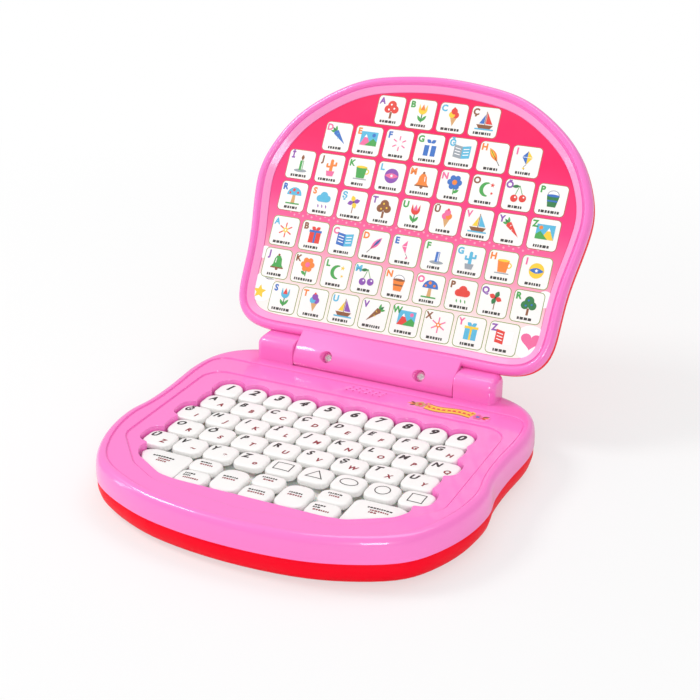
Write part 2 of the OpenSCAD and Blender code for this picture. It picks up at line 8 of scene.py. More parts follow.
# %% Load the frame
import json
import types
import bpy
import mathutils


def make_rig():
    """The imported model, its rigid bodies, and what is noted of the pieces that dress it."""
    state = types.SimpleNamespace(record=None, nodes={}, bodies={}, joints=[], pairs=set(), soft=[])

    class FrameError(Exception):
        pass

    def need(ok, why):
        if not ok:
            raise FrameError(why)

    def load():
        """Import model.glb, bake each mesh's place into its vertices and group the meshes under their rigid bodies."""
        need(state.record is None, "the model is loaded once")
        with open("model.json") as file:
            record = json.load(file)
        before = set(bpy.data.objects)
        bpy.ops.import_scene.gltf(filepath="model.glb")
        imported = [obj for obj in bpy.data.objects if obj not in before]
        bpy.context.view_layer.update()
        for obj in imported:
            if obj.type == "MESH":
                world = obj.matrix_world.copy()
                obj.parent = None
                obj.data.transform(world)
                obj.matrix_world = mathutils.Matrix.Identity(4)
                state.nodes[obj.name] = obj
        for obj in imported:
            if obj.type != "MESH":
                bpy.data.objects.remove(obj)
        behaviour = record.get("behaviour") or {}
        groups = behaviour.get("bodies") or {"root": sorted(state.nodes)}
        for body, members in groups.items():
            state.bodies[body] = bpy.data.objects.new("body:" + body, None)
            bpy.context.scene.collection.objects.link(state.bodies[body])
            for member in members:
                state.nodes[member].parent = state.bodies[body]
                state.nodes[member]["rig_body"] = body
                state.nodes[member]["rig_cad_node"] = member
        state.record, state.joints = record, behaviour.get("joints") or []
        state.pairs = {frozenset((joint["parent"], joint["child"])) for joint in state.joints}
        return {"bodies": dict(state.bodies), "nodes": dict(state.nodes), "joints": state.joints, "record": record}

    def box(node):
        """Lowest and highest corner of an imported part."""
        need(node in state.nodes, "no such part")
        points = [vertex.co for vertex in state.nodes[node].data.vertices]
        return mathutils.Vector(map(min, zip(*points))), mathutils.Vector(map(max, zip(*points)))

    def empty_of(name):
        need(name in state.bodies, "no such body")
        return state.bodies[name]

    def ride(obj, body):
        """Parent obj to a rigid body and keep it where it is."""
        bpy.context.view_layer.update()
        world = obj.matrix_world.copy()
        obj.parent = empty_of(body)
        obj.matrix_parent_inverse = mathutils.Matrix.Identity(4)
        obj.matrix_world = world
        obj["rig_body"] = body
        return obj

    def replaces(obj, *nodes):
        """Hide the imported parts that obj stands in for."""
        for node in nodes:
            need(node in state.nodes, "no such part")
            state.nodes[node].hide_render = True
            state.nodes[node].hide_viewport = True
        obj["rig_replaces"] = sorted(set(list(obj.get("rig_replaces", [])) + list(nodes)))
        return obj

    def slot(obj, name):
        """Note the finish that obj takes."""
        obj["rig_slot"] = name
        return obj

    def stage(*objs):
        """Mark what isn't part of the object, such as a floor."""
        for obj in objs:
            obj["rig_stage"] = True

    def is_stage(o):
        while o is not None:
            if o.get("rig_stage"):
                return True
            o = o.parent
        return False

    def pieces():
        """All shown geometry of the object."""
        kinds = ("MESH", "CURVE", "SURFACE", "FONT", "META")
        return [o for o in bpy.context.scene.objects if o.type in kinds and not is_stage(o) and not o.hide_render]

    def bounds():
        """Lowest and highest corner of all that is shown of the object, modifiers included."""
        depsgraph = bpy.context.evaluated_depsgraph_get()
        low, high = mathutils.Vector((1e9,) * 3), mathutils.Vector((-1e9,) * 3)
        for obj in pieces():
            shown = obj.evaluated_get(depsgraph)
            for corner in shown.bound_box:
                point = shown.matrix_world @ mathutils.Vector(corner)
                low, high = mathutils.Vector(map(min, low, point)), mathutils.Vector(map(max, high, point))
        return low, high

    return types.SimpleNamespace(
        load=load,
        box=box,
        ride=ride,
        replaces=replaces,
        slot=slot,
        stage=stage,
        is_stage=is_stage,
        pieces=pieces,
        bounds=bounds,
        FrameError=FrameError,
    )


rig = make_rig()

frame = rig.load()
cad_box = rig.bounds()

import bpy
import bmesh
import math
import json
import random
from mathutils import Vector, Matrix
from mathutils.geometry import delaunay_2d_cdt

MM = 0.001
print("bodies", len(frame["bodies"]), "nodes", len(frame["nodes"]))

# %% [markdown]
# ## The camera
# The toy is seen from its front right, from a little above, with a moderately long lens, so
# that the sides of the case stay nearly parallel. The camera is placed by its position and a
# point that it looks at, which is easier to read than three angles.

# %% Camera
def linked(name, data):
    thing = bpy.data.objects.new(name, data)
    bpy.context.scene.collection.objects.link(thing)
    return thing


def aimed(name, data, position, target):
    """An object at a point in metres, turned so that it looks at another point."""
    thing = linked(name, data)
    thing.location = position
    thing.rotation_mode = "QUATERNION"
    thing.rotation_quaternion = (Vector(target) - thing.location).to_track_quat("-Z", "Y")
    return thing


def place_camera(position, target, focal_px, frame_px=700):
    data = bpy.data.cameras.new("camera")
    data.sensor_width = 36
    data.lens = focal_px / frame_px * data.sensor_width
    data.clip_start, data.clip_end = 0.05, 20
    bpy.context.scene.camera = aimed("camera", data, Vector(position) * MM, Vector(target) * MM)
    print("lens", round(data.lens, 2), "mm")


place_camera((317.6, -610.7, 388.0), (0, 48.6, 59.16), 1416.5)

# %% [markdown]
# ## Light, floor and background
# A product like this is lit by large soft boxes, which draw broad pale reflections along the
# rounded rims. The floor is a big pale sheet, and the world is a pale room. A camera ray sees
# the room as pure white, while the toy is lit by a weaker one.

# %% Lamps and world
ROOM_LIGHT = 0.55
LAMP_TARGET = (0, 0, 0.08)


def soft_box(name, position, size, power):
    data = bpy.data.lights.new(name, "AREA")
    data.shape, data.size, data.size_y, data.energy = "RECTANGLE", size[0], size[1], power
    aimed(name, data, position, LAMP_TARGET)


soft_box("key_box", (-1.05, -0.25, 1.2), (0.45, 0.45), 9)
soft_box("front_box", (0.8, -1.2, 0.65), (0.4, 0.4), 6.5)
soft_box("top_box", (0.1, 0.55, 1.4), (1.2, 0.5), 4.5)
soft_box("left_strip", (-1.3, -0.45, 0.35), (0.12, 0.9), 1.5)

world = bpy.data.worlds.new("studio")
bpy.context.scene.world = world
world.use_nodes = True
background = world.node_tree.nodes["Background"]
background.inputs["Color"].default_value = (1, 1, 1, 1)
lights = world.node_tree.nodes.new("ShaderNodeLightPath")
lift = world.node_tree.nodes.new("ShaderNodeMapRange")
lift.inputs["To Min"].default_value = ROOM_LIGHT
lift.inputs["To Max"].default_value = 1.0
world.node_tree.links.new(lights.outputs["Is Camera Ray"], lift.inputs["Value"])
world.node_tree.links.new(lift.outputs["Result"], background.inputs["Strength"])
bpy.context.scene.view_settings.view_transform = "Standard"


# %% Floor
def make_floor(half=6.0, near=0.15, far=0.75):
    """A pale sheet whose own light grows with the distance, so that it fades to white."""
    mesh = bpy.data.meshes.new("floor")
    corners = [(-half, -half, 0), (half, -half, 0), (half, half, 0), (-half, half, 0)]
    mesh.from_pydata(corners, [], [(0, 1, 2, 3)])
    material = bpy.data.materials.new("pale_floor")
    material.use_nodes = True
    tree = material.node_tree
    new, join = tree.nodes.new, tree.links.new
    shader = tree.nodes["Principled BSDF"]
    shader.inputs["Base Color"].default_value = (0.88, 0.88, 0.88, 1)
    shader.inputs["Roughness"].default_value = 0.7
    shader.inputs["Specular IOR Level"].default_value = 0.1
    glow, mix, rays, place, length, share, seen = (new("ShaderNode" + kind) for kind in (
        "Emission", "MixShader", "LightPath", "TexCoord", "VectorMath", "MapRange", "Math"))
    length.operation, seen.operation = "LENGTH", "MULTIPLY"
    share.interpolation_type = "SMOOTHSTEP"
    share.inputs["From Min"].default_value = near
    share.inputs["From Max"].default_value = far
    share.inputs["To Min"].default_value = ROOM_LIGHT
    join(place.outputs["Object"], length.inputs[0])
    join(length.outputs["Value"], share.inputs["Value"])
    join(share.outputs["Result"], seen.inputs[0])
    join(rays.outputs["Is Camera Ray"], seen.inputs[1])
    join(seen.outputs[0], mix.inputs["Fac"])
    join(shader.outputs["BSDF"], mix.inputs[1])
    join(glow.outputs["Emission"], mix.inputs[2])
    join(mix.outputs["Shader"], tree.nodes["Material Output"].inputs["Surface"])
    mesh.materials.append(material)
    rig.stage(linked("floor", mesh))


make_floor()

# %% [markdown]
# ## One shader group for every moulded and printed surface
# No real surface is one flat colour. Plastic flows into its mould unevenly, ink covers
# unevenly, and the mould leaves a very fine texture. The group takes the plain colour and
# roughness and gives back both with slow patches and a fine grain, and a height for a Bump
# node. It is built once and used with other values in each material.

# %% Surface group
def surface_group():
    tree = bpy.data.node_groups.new("surface_detail", "ShaderNodeTree")
    inputs = [("Vector", "NodeSocketVector"), ("Colour", "NodeSocketColor"),
              ("Second Colour", "NodeSocketColor")]
    inputs += [(label, "NodeSocketFloat") for label in (
        "Patchiness", "Patch Scale", "Roughness", "Roughness Spread", "Grain Scale")]
    for label, kind in inputs:
        tree.interface.new_socket(label, in_out="INPUT", socket_type=kind)
    for label, kind in [("Colour", "NodeSocketColor"), ("Roughness", "NodeSocketFloat"),
                        ("Height", "NodeSocketFloat")]:
        tree.interface.new_socket(label, in_out="OUTPUT", socket_type=kind)
    new, join = tree.nodes.new, tree.links.new
    given, result = new("NodeGroupInput"), new("NodeGroupOutput")
    patches, grain = new("ShaderNodeTexNoise"), new("ShaderNodeTexNoise")
    patches.inputs["Detail"].default_value = 4
    grain.inputs["Detail"].default_value = 2
    for noise, scale in ((patches, "Patch Scale"), (grain, "Grain Scale")):
        join(given.outputs["Vector"], noise.inputs["Vector"])
        join(given.outputs[scale], noise.inputs["Scale"])
    amount, mix = new("ShaderNodeMath"), new("ShaderNodeMix")
    amount.operation = "MULTIPLY"
    mix.data_type = "RGBA"
    join(patches.outputs["Fac"], amount.inputs[0])
    join(given.outputs["Patchiness"], amount.inputs[1])
    join(amount.outputs[0], mix.inputs["Factor"])
    join(given.outputs["Colour"], mix.inputs["A"])
    join(given.outputs["Second Colour"], mix.inputs["B"])
    join(mix.outputs["Result"], result.inputs["Colour"])
    blend = new("ShaderNodeMath")
    blend.operation = "MULTIPLY_ADD"
    join(patches.outputs["Fac"], blend.inputs[0])
    join(given.outputs["Roughness Spread"], blend.inputs[1])
    join(given.outputs["Roughness"], blend.inputs[2])
    join(blend.outputs[0], result.inputs["Roughness"])
    join(grain.outputs["Fac"], result.inputs["Height"])
    return tree


surface_detail = surface_group()
print("surface group with", len(surface_detail.nodes), "nodes")

# %% [markdown]
# ## The finishes
# Colours are written as the eight-bit values that a screen shows and turned into light values
# here. A finish has its plain colour, a second colour for its patches, a roughness, and the
# depth and scale of its grain. Everything that is the same all over, such as the coat, is set
# on the shader itself.

# %% Finish helper
def light_value(channel):
    c = channel / 255
    return c / 12.92 if c <= 0.04045 else ((c + 0.055) / 1.055) ** 2.4


def colour(code):
    return tuple(light_value(int(code[i:i + 2], 16)) for i in (1, 3, 5)) + (1.0,)


def finish(name, plain, second, patchiness=0.25, patch_scale=40, rough=0.35, spread=0.08,
           grain_scale=900, grain_depth=0.02, colour_from=None, **fixed):
    """A material round the surface group; fixed values go on the shader's own sockets."""
    material = bpy.data.materials.new(name)
    material.use_nodes = True
    tree = material.node_tree
    join = tree.links.new
    shader = tree.nodes["Principled BSDF"]
    place, detail, bump = (tree.nodes.new("ShaderNode" + kind) for kind in (
        "TexCoord", "Group", "Bump"))
    detail.node_tree = surface_detail
    values = {"Colour": colour(plain), "Second Colour": colour(second),
              "Patchiness": patchiness, "Patch Scale": patch_scale,
              "Roughness": rough - spread / 2, "Roughness Spread": spread,
              "Grain Scale": grain_scale}
    for label, value in values.items():
        detail.inputs[label].default_value = value
    bump.inputs["Strength"].default_value = 0.35
    bump.inputs["Distance"].default_value = grain_depth * MM
    join(place.outputs["Object"], detail.inputs["Vector"])
    if colour_from:
        join(colour_from(tree, place), detail.inputs["Colour"])
    join(detail.outputs["Colour"], shader.inputs["Base Color"])
    join(detail.outputs["Roughness"], shader.inputs["Roughness"])
    join(detail.outputs["Height"], bump.inputs["Height"])
    join(bump.outputs["Normal"], shader.inputs["Normal"])
    for socket, value in fixed.items():
        shader.inputs[socket.replace("_", " ")].default_value = value
    return material


# %% Plastics
SHELL = dict(patch_scale=14, grain_scale=1400, grain_depth=0.012)
pink_plastic = finish("pink_plastic", "#fd78cc", "#ff86d4", rough=0.32, spread=0.06,
                      Coat_Weight=0.8, Coat_Roughness=0.06, **SHELL)
# The paler pink of the lid band's inward-sloping faces is a painted highlight on the same pink plastic.
band_painted_highlight = finish("band_painted_highlight", "#ff9ed4", "#ffa9da", rough=0.4, spread=0.08,
                   Coat_Weight=0.5, Coat_Roughness=0.1, **SHELL)
red_plastic = finish("red_plastic", "#fb0024", "#ff0630", rough=0.42, spread=0.06,
                     Coat_Weight=0.05, Coat_Roughness=0.1, Specular_IOR_Level=0.08, **SHELL)
key_plastic = finish("key_plastic", "#f6f5f3", "#f1efec", patch_scale=60, rough=0.34,
                     spread=0.08, grain_scale=1100, grain_depth=0.015, Coat_Weight=0.1,
                     Coat_Roughness=0.2)
silicone = finish("silicone", "#e9e7e3", "#dcdad6", patch_scale=90, rough=0.5, spread=0.1,
                  grain_scale=700, grain_depth=0.02, Subsurface_Weight=0.4,
                  Subsurface_Scale=0.002)

# %% Inks and card stock
def painted(tree, place):
    colours = tree.nodes.new("ShaderNodeAttribute")
    colours.attribute_name = "ink"
    return colours.outputs["Color"]


black_ink = finish("black_ink", "#15130f", "#2a2622", patch_scale=260, rough=0.45,
                   grain_scale=2500, grain_depth=0.01)
red_ink = finish("red_ink", "#8d1626", "#a62b38", patch_scale=260, rough=0.45,
                 grain_scale=2500, grain_depth=0.01)
printed_ink = finish("printed_ink", "#ffffff", "#ffffff", patchiness=0.05, patch_scale=700,
                     rough=0.38, grain_scale=2600, grain_depth=0.008, colour_from=painted,
                     Coat_Weight=0.15, Coat_Roughness=0.2)
tile_paper = finish("tile_paper", "#fbfaf6", "#f5f0e6", patch_scale=120, rough=0.4,
                    grain_scale=2200, grain_depth=0.006, Coat_Weight=0.15, Coat_Roughness=0.2)
pink_dots = finish("pink_dots", "#ffa3bd", "#ffb6ca", patch_scale=300, rough=0.4)
brown_line = finish("brown_line", "#b5705a", "#a5604c", patch_scale=300, rough=0.4)
green_line = finish("green_line", "#8aa552", "#7b9548", patch_scale=300, rough=0.4)
sticker_film = finish("sticker_film", "#fe84cf", "#fb9ad6", patchiness=0.5, patch_scale=70,
                      rough=0.3, grain_scale=1500, grain_depth=0.006, Coat_Weight=0.3,
                      Coat_Roughness=0.1)

# %% Metals and the inner pieces
steel = finish("steel", "#fbfaf7", "#dcdcd9", patchiness=0.6, patch_scale=420, rough=0.42,
               spread=0.14, grain_scale=2400, grain_depth=0.02, Metallic=0.75)
spring_wire = finish("spring_wire", "#d6cdb4", "#bdb294", patchiness=0.5, patch_scale=300,
                     rough=0.25, spread=0.1, Metallic=1.0)
board_laminate = finish("board_laminate", "#2f6d3a", "#3f7f45", patchiness=0.6,
                        patch_scale=220, rough=0.45, grain_scale=1200, grain_depth=0.03)
chip_resin = finish("chip_resin", "#16161a", "#24242a", patch_scale=160, rough=0.25)
battery_jacket = finish("battery_jacket", "#3b3f46", "#2c2f35", patch_scale=60, rough=0.3,
                        Coat_Weight=0.4, Coat_Roughness=0.1)
speaker_metal = finish("speaker_metal", "#a8a9ab", "#8d8f92", patchiness=0.5,
                       patch_scale=200, rough=0.35, spread=0.12, Metallic=1.0)
speaker_paper = finish("speaker_paper", "#2d2b29", "#3a3733", patchiness=0.7,
                       patch_scale=300, rough=0.8, grain_scale=900, grain_depth=0.06)
print("finishes", len(bpy.data.materials))

# %% [markdown]
# ## From outlines to meshes
# Nearly every piece here is a moulding or a flat print, so a few helpers are enough: an
# outline with rounded corners, the same outline moved inwards, and rings of points joined into
# walls. A finished mesh gets smooth shading, with edges kept sharp past a given angle.

# %% Outline helpers
def rounded(corners, radii, steps=6):
    """An anticlockwise outline with each corner turned by an arc."""
    count = len(corners)
    radii = radii if isinstance(radii, (list, tuple)) else [radii] * count
    loop = []
    for i in range(count):
        before, here, after = (Vector(corners[(i + k) % count]) for k in (-1, 0, 1))
        back, ahead = (before - here).normalized(), (after - here).normalized()
        half = back.angle(ahead) / 2
        centre = here + (back + ahead).normalized() * radii[i] / math.sin(half)
        spoke = here + back * radii[i] / math.tan(half) - centre
        for k in range(steps + 1):
            turn = (math.pi - 2 * half) * k / steps
            point = centre + Matrix.Rotation(turn, 2) @ spoke
            if not loop or (point - loop[-1]).length > 0.01:
                loop.append(point)
    if (loop[0] - loop[-1]).length < 0.01:
        loop.pop()
    return loop


def around(x, y, radius, turn, radius_y=None):
    """The point of a circle or an ellipse at an angle in radians."""
    return x + radius * math.cos(turn), y + (radius_y or radius) * math.sin(turn)


def circle(x, y, radius, sides):
    return [around(x, y, radius, math.tau * i / sides) for i in range(sides)]


def rectangle(x, y, width, height):
    w, h = width / 2, height / 2
    return [(x - w, y - h), (x + w, y - h), (x + w, y + h), (x - w, y + h)]


def inset(loop, distance):
    """Moves every point of an anticlockwise outline inwards."""
    moved = []
    for i, here in enumerate(loop):
        a = (here - loop[i - 1]).normalized()
        b = (loop[(i + 1) % len(loop)] - here).normalized()
        left, right = Vector((-a.y, a.x)), Vector((-b.y, b.x))
        middle = (left + right).normalized()
        moved.append(here + middle * distance / max(0.35, middle.dot(left)))
    return moved


# %% Mesh helpers
def walls(bm, rings):
    """Joins closed rings of the same number of vertices."""
    for low, high in zip(rings, rings[1:]):
        for i in range(len(low)):
            j = (i + 1) % len(low)
            bm.faces.new((low[i], low[j], high[j], high[i]))


def cap(bm, ring, centre, upwards=True):
    """Closes a ring with a fan of triangles round a middle point."""
    tip = bm.verts.new(centre)
    for i in range(len(ring)):
        j = (i + 1) % len(ring)
        bm.faces.new((ring[i], ring[j], tip) if upwards else (ring[j], ring[i], tip))


def lathe(bm, x, y, profile, sides):
    """A closed turned body on an upright axis; the profile is (radius, height) from below."""
    rings = [[bm.verts.new((*spot, height)) for spot in circle(x, y, radius, sides)]
             for radius, height in profile]
    walls(bm, rings)
    cap(bm, rings[-1], (x, y, profile[-1][1]))
    cap(bm, rings[0], (x, y, profile[0][1]), upwards=False)


def piece_from(name, bm, materials, sharp=40):
    """Turns a bmesh in millimetres into an object in metres, shaded smooth up to an angle."""
    bmesh.ops.scale(bm, vec=(MM, MM, MM), verts=bm.verts)
    mesh = bpy.data.meshes.new(name)
    bm.to_mesh(mesh)
    bm.free()
    for material in materials:
        mesh.materials.append(material)
    mesh.shade_smooth()
    mesh.set_sharp_from_angle(angle=math.radians(sharp))
    return linked(name, mesh)


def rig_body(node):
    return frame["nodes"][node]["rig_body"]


def belongs(piece, body, slot, node=None):
    """Says which body carries a piece, which node it stands for and which slot it shows."""
    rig.ride(piece, body)
    if node:
        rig.replaces(piece, node)
    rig.slot(piece, slot)


# %% [markdown]
# ## The keys
# Each key is a white cap, about 4 mm thick, with nearly upright sides, a soft shoulder and a
# top that is slightly domed. Under it a short plunger reaches the rubber sheet. The caps are
# lofted from their outlines: rings for the side, a quarter circle for the shoulder, and three
# shrinking rings for the dome. The outline's place and size come from the frame.

# %% Key caps
DOME_RADIUS = 90
SHOULDER = 1.35
CAP_THICKNESS = 4
SIDE_DRAFT = 0.15
DOME_RINGS = (0.8, 0.55, 0.28)


def dome_drop(x, y, centre):
    return ((x - centre.x) ** 2 + (y - centre.y) ** 2) / (2 * DOME_RADIUS)


def key_cap(bm, loop, centre, top):
    bottom = top - CAP_THICKNESS
    side = [(0.35, bottom), (0.08, bottom + 0.3), (0.0, bottom + 0.9),
            (SIDE_DRAFT, top - SHOULDER)]
    for degrees in range(15, 91, 15):
        turn = math.radians(degrees)
        side.append((SIDE_DRAFT + SHOULDER * (1 - math.cos(turn)),
                     top - SHOULDER + SHOULDER * math.sin(turn)))
    rings = []
    for distance, height in side:
        weight = (height - bottom) / CAP_THICKNESS
        rings.append([bm.verts.new((p.x, p.y, height - weight ** 2 * dome_drop(p.x, p.y, centre)))
                      for p in inset(loop, distance)])
    last = inset(loop, side[-1][0])
    for share in DOME_RINGS:
        ring = [centre + (p - centre) * share for p in last]
        rings.append([bm.verts.new((p.x, p.y, top - dome_drop(p.x, p.y, centre))) for p in ring])
    walls(bm, rings)
    cap(bm, rings[-1], (centre.x, centre.y, top))
    cap(bm, rings[0], (centre.x, centre.y, bottom), upwards=False)


# %% Key outlines
KEY_GAP = 1.2
PLUNGER_LENGTH, PLUNGER_RADIUS = 2.3, 3.0
WEDGE = [(-16.2, 6.9), (-10, -3.5), (16.2, -19.15), (16.2, 9.8), (-8.1, 9.8)]
WEDGE_SIDE, WEDGE_REAR = 16.2, 9.8


def key_outline(middle, width, height, corner):
    box = rectangle(middle.x, middle.y, width, height)
    if corner == "round top":
        round_top = width / 2 - 0.01
        return rounded(box, [3.5, 3.5, round_top, round_top], 8)
    if corner == "wedge":
        side = -1 if middle.x < 0 else 1
        inner_x = middle.x - side * width / 2
        rear_y = middle.y + height / 2
        return rounded([(inner_x + side * (WEDGE_SIDE - x), rear_y - WEDGE_REAR + y)
                        for x, y in WEDGE][::-side], 4.0)
    return rounded(box, corner)


def make_keys(node, count, corner):
    """All caps of one node, side by side in the node's box."""
    low, high = (Vector(v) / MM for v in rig.box(node))
    width = (high.x - low.x + KEY_GAP) / count - KEY_GAP
    height, middle_y, top = high.y - low.y, (low.y + high.y) / 2, high.z
    middles = [Vector((low.x + width / 2 + i * (width + KEY_GAP), middle_y))
               for i in range(count)]
    under = top - CAP_THICKNESS
    foot = under - PLUNGER_LENGTH
    bm = bmesh.new()
    for middle in middles:
        key_cap(bm, key_outline(middle, width, height, corner), middle, top)
        lathe(bm, middle.x, middle.y, [(PLUNGER_RADIUS - 0.4, foot), (PLUNGER_RADIUS, foot + 0.4),
                                       (PLUNGER_RADIUS, under + 0.2)], 20)
    belongs(piece_from(node + "_cap", bm, [key_plastic], 50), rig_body(node), "white_keys", node)
    return middles, top


NUMBER_KEYS = ["number_key_%d" % i for i in range(10)]
LETTER_ROWS = {"letter_keys_row_a": 8, "letter_keys_row_b": 9, "letter_keys_row_c": 8}
LAST_LETTERS = ["letter_key_d%d" % i for i in (1, 2, 3, 4)]
SHAPE_KEYS = ["shape_key_" + s for s in ("rectangle", "triangle", "oval", "circle", "square")]
FUNCTION_CORNERS = {1: "wedge", 2: 4.5, 3: 4.5, 4: 7, 5: 4.5, 6: 4.5, 7: 7, 8: 4.5, 9: 4.5,
                    10: "wedge"}
places = {}
for node in NUMBER_KEYS:
    places[node] = make_keys(node, 1, "round top")
for node, count in LETTER_ROWS.items():
    places[node] = make_keys(node, count, 5)
for node in LAST_LETTERS + SHAPE_KEYS:
    places[node] = make_keys(node, 1, 5)
for number, corner in FUNCTION_CORNERS.items():
    places["function_key_%d" % number] = make_keys("function_key_%d" % number, 1, corner)
print("caps", sum(len(middles) for middles, top in places.values()))

# %% [markdown]
# ## Printing on the keys
# The keys carry plain digits, plain letters and outline shapes, printed in black and dark red.
# Digits and letters come from the built-in font as flat meshes, slanted and a little
# fattened, and the outline shapes are drawn as narrow bands. A sign is cut into small squares
# and laid on the domed cap, a hair above it. Signs that belong to one body are one piece.

# %% Signs from the font
INK_HEIGHT = 0.06
FONT_CAPITAL = 0.73
BAND_STEP = 1.2


def flat_text(text, slant, fatten):
    curve = bpy.data.curves.new("sign", "FONT")
    curve.body, curve.size, curve.shear = text, 1.0, slant
    curve.offset, curve.resolution_u = fatten, 3
    holder = linked("sign", curve)
    flat = bpy.data.meshes.new_from_object(holder.evaluated_get(
        bpy.context.evaluated_depsgraph_get()))
    corners = [Vector((v.co.x, v.co.y)) for v in flat.vertices]
    faces = [list(f.vertices) for f in flat.polygons]
    bpy.data.objects.remove(holder)
    bpy.data.meshes.remove(flat)
    bpy.data.curves.remove(curve)
    return corners, faces


def sign(text, cap_height, slant=0.24, fatten=0.046):
    """A flat sign with its middle at zero, in millimetres. Fattening a sharp corner can throw
    a long spike, so every corner is held to the box of the plain letter."""
    plain = flat_text(text, slant, 0.0)[0]
    corners, faces = flat_text(text, slant, fatten)
    low = Vector([min(c[k] for c in plain) - fatten for k in (0, 1)])
    high = Vector([max(c[k] for c in plain) + fatten for k in (0, 1)])
    held = [Vector([min(max(c[k], low[k]), high[k]) for k in (0, 1)]) for c in corners]
    scale = cap_height / FONT_CAPITAL
    middle = Vector(((low.x + high.x) / 2, FONT_CAPITAL / 2))
    return [(c - middle) * scale for c in held], faces


def lay(bm, corners, faces, at, surface, material=0, step=1.1):
    """Puts a flat sign at a point of a surface given as a height for each x and y. The sign is
    first cut on a fine grid, so that no face is long enough to sink into the dome."""
    flat = bmesh.new()
    made = [flat.verts.new((c.x, c.y, 0)) for c in corners]
    for face in faces:
        flat.faces.new([made[i] for i in face])
    for k in range(-8, 9):
        for normal in ((1, 0, 0), (0, 1, 0)):
            bmesh.ops.bisect_plane(flat, geom=flat.verts[:] + flat.edges[:] + flat.faces[:],
                                   plane_co=(k * step, k * step, 0), plane_no=normal)
    flat.verts.index_update()
    laid = [bm.verts.new((v.co.x + at[0], v.co.y + at[1],
                          surface(v.co.x + at[0], v.co.y + at[1]))) for v in flat.verts]
    for face in flat.faces:
        bm.faces.new([laid[v.index] for v in face.verts]).material_index = material
    flat.free()


def outline_band(points, width):
    """A closed drawn line of a given width, in short steps, as corners and faces."""
    fine = []
    for a, b in zip(points, points[1:] + points[:1]):
        pieces = max(1, round((b - a).length / BAND_STEP))
        fine += [a.lerp(b, i / pieces) for i in range(pieces)]
    count = len(fine)
    faces = [(i, (i + 1) % count, count + (i + 1) % count, count + i) for i in range(count)]
    return fine + inset(fine, width), faces


def ellipse(width, height, sides=36):
    return [around(0, 0, width / 2, math.tau * i / sides, height / 2) for i in range(sides)]


# %% Signs on their keys
ROW_SIGNS = {
    "letter_keys_row_a": ("ABCÇDEFG", "ABCDEFGH"),
    "letter_keys_row_b": ("ĞHIİJKLMN", "IJKLMNOPQ"),
    "letter_keys_row_c": ("OÖPRSŞTU", "RSTUVWXY"),
}
DIGIT_HEIGHT, BIG_LETTER, SMALL_LETTER = 6.2, 4.6, 3.4
DIGIT_RISE = 1.6
BIG_PLACE, SMALL_PLACE = (-4.2, 2.7), (3.6, -2.8)
DRAWN_LINE = 0.55
DRAWN = {
    "shape_key_rectangle": rectangle(0, 0, 10, 7.6),
    "shape_key_triangle": [(-5.2, -3.6), (5.2, -3.6), (0, 4.4)],
    "shape_key_oval": ellipse(10.4, 7),
    "shape_key_circle": ellipse(8.6, 8.6),
    "shape_key_square": rectangle(0, 0, 8.4, 8.4),
}


def key_surface(middle, top):
    return lambda x, y: top + INK_HEIGHT - dome_drop(x, y, middle)


def two_signs(bm, middle, top, big, small):
    surface = key_surface(middle, top)
    for ink, (text, height, (x, y)) in enumerate(((big, BIG_LETTER, BIG_PLACE),
                                                  (small, SMALL_LETTER, SMALL_PLACE))):
        lay(bm, *sign(text, height), (middle.x + x, middle.y + y), surface, ink)


def sign_piece(node, bm):
    belongs(piece_from(node + "_signs", bm, [black_ink, red_ink]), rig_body(node), "white_keys")


for i, node in enumerate(NUMBER_KEYS):
    (middle,), top = places[node]
    bm = bmesh.new()
    place = (middle.x, middle.y + DIGIT_RISE)
    lay(bm, *sign(str(i), DIGIT_HEIGHT), place, key_surface(middle, top))
    sign_piece(node, bm)
for node, (big, small) in ROW_SIGNS.items():
    bm = bmesh.new()
    for middle, a, b in zip(places[node][0], big, small):
        two_signs(bm, middle, places[node][1], a, b)
    sign_piece(node, bm)
for node, big, small in zip(LAST_LETTERS, "ÜVYZ", ("Z", "~", "*", "o")):
    (middle,), top = places[node]
    bm = bmesh.new()
    two_signs(bm, middle, top, big, small)
    sign_piece(node, bm)
for node, shape in DRAWN.items():
    (middle,), top = places[node]
    bm = bmesh.new()
    corners, faces = outline_band([Vector(p) for p in shape], DRAWN_LINE)
    lay(bm, corners, faces, middle, key_surface(middle, top))
    sign_piece(node, bm)
print("signs on", len(NUMBER_KEYS) + len(ROW_SIGNS) + len(LAST_LETTERS) + len(DRAWN), "keys")

# %% [markdown]
# ## The lid's own frame
# The open lid leans back, so its card, tiles and screws are made lying flat, with x across,
# v up the lid from the hinge line and n out of its face, and then turned into place with one
# matrix. The turn is the lid's opening angle.

# %% Lid frame
OPEN_ANGLE = math.radians(122)
HINGE = Vector((0, 85.8, 31.9))
lid_up = Vector((0, -math.cos(OPEN_ANGLE), math.sin(OPEN_ANGLE)))
lid_out = Vector((0, -math.sin(OPEN_ANGLE), -math.cos(OPEN_ANGLE)))
lid_frame = Matrix.Translation(HINGE) @ Matrix((
    (1, 0, 0), (0, lid_up.y, lid_out.y), (0, lid_up.z, lid_out.z))).to_4x4()
metres = Matrix.Diagonal((MM, MM, MM, 1))


def place_on_lid(piece):
    """Moves a mesh made in metres in the lid's flat frame to the open lid."""
    piece.data.transform(metres @ lid_frame @ metres.inverted())


# %% [markdown]
# ## Things that repeat, with Geometry Nodes
# The picture tiles, the dotted line and the screws are all one shape on many points. A node
# tree puts the shape on the points of a mesh, turns the copies into real faces and gives them
# a material. The result is taken off as a plain mesh, so nothing live is left on the piece.

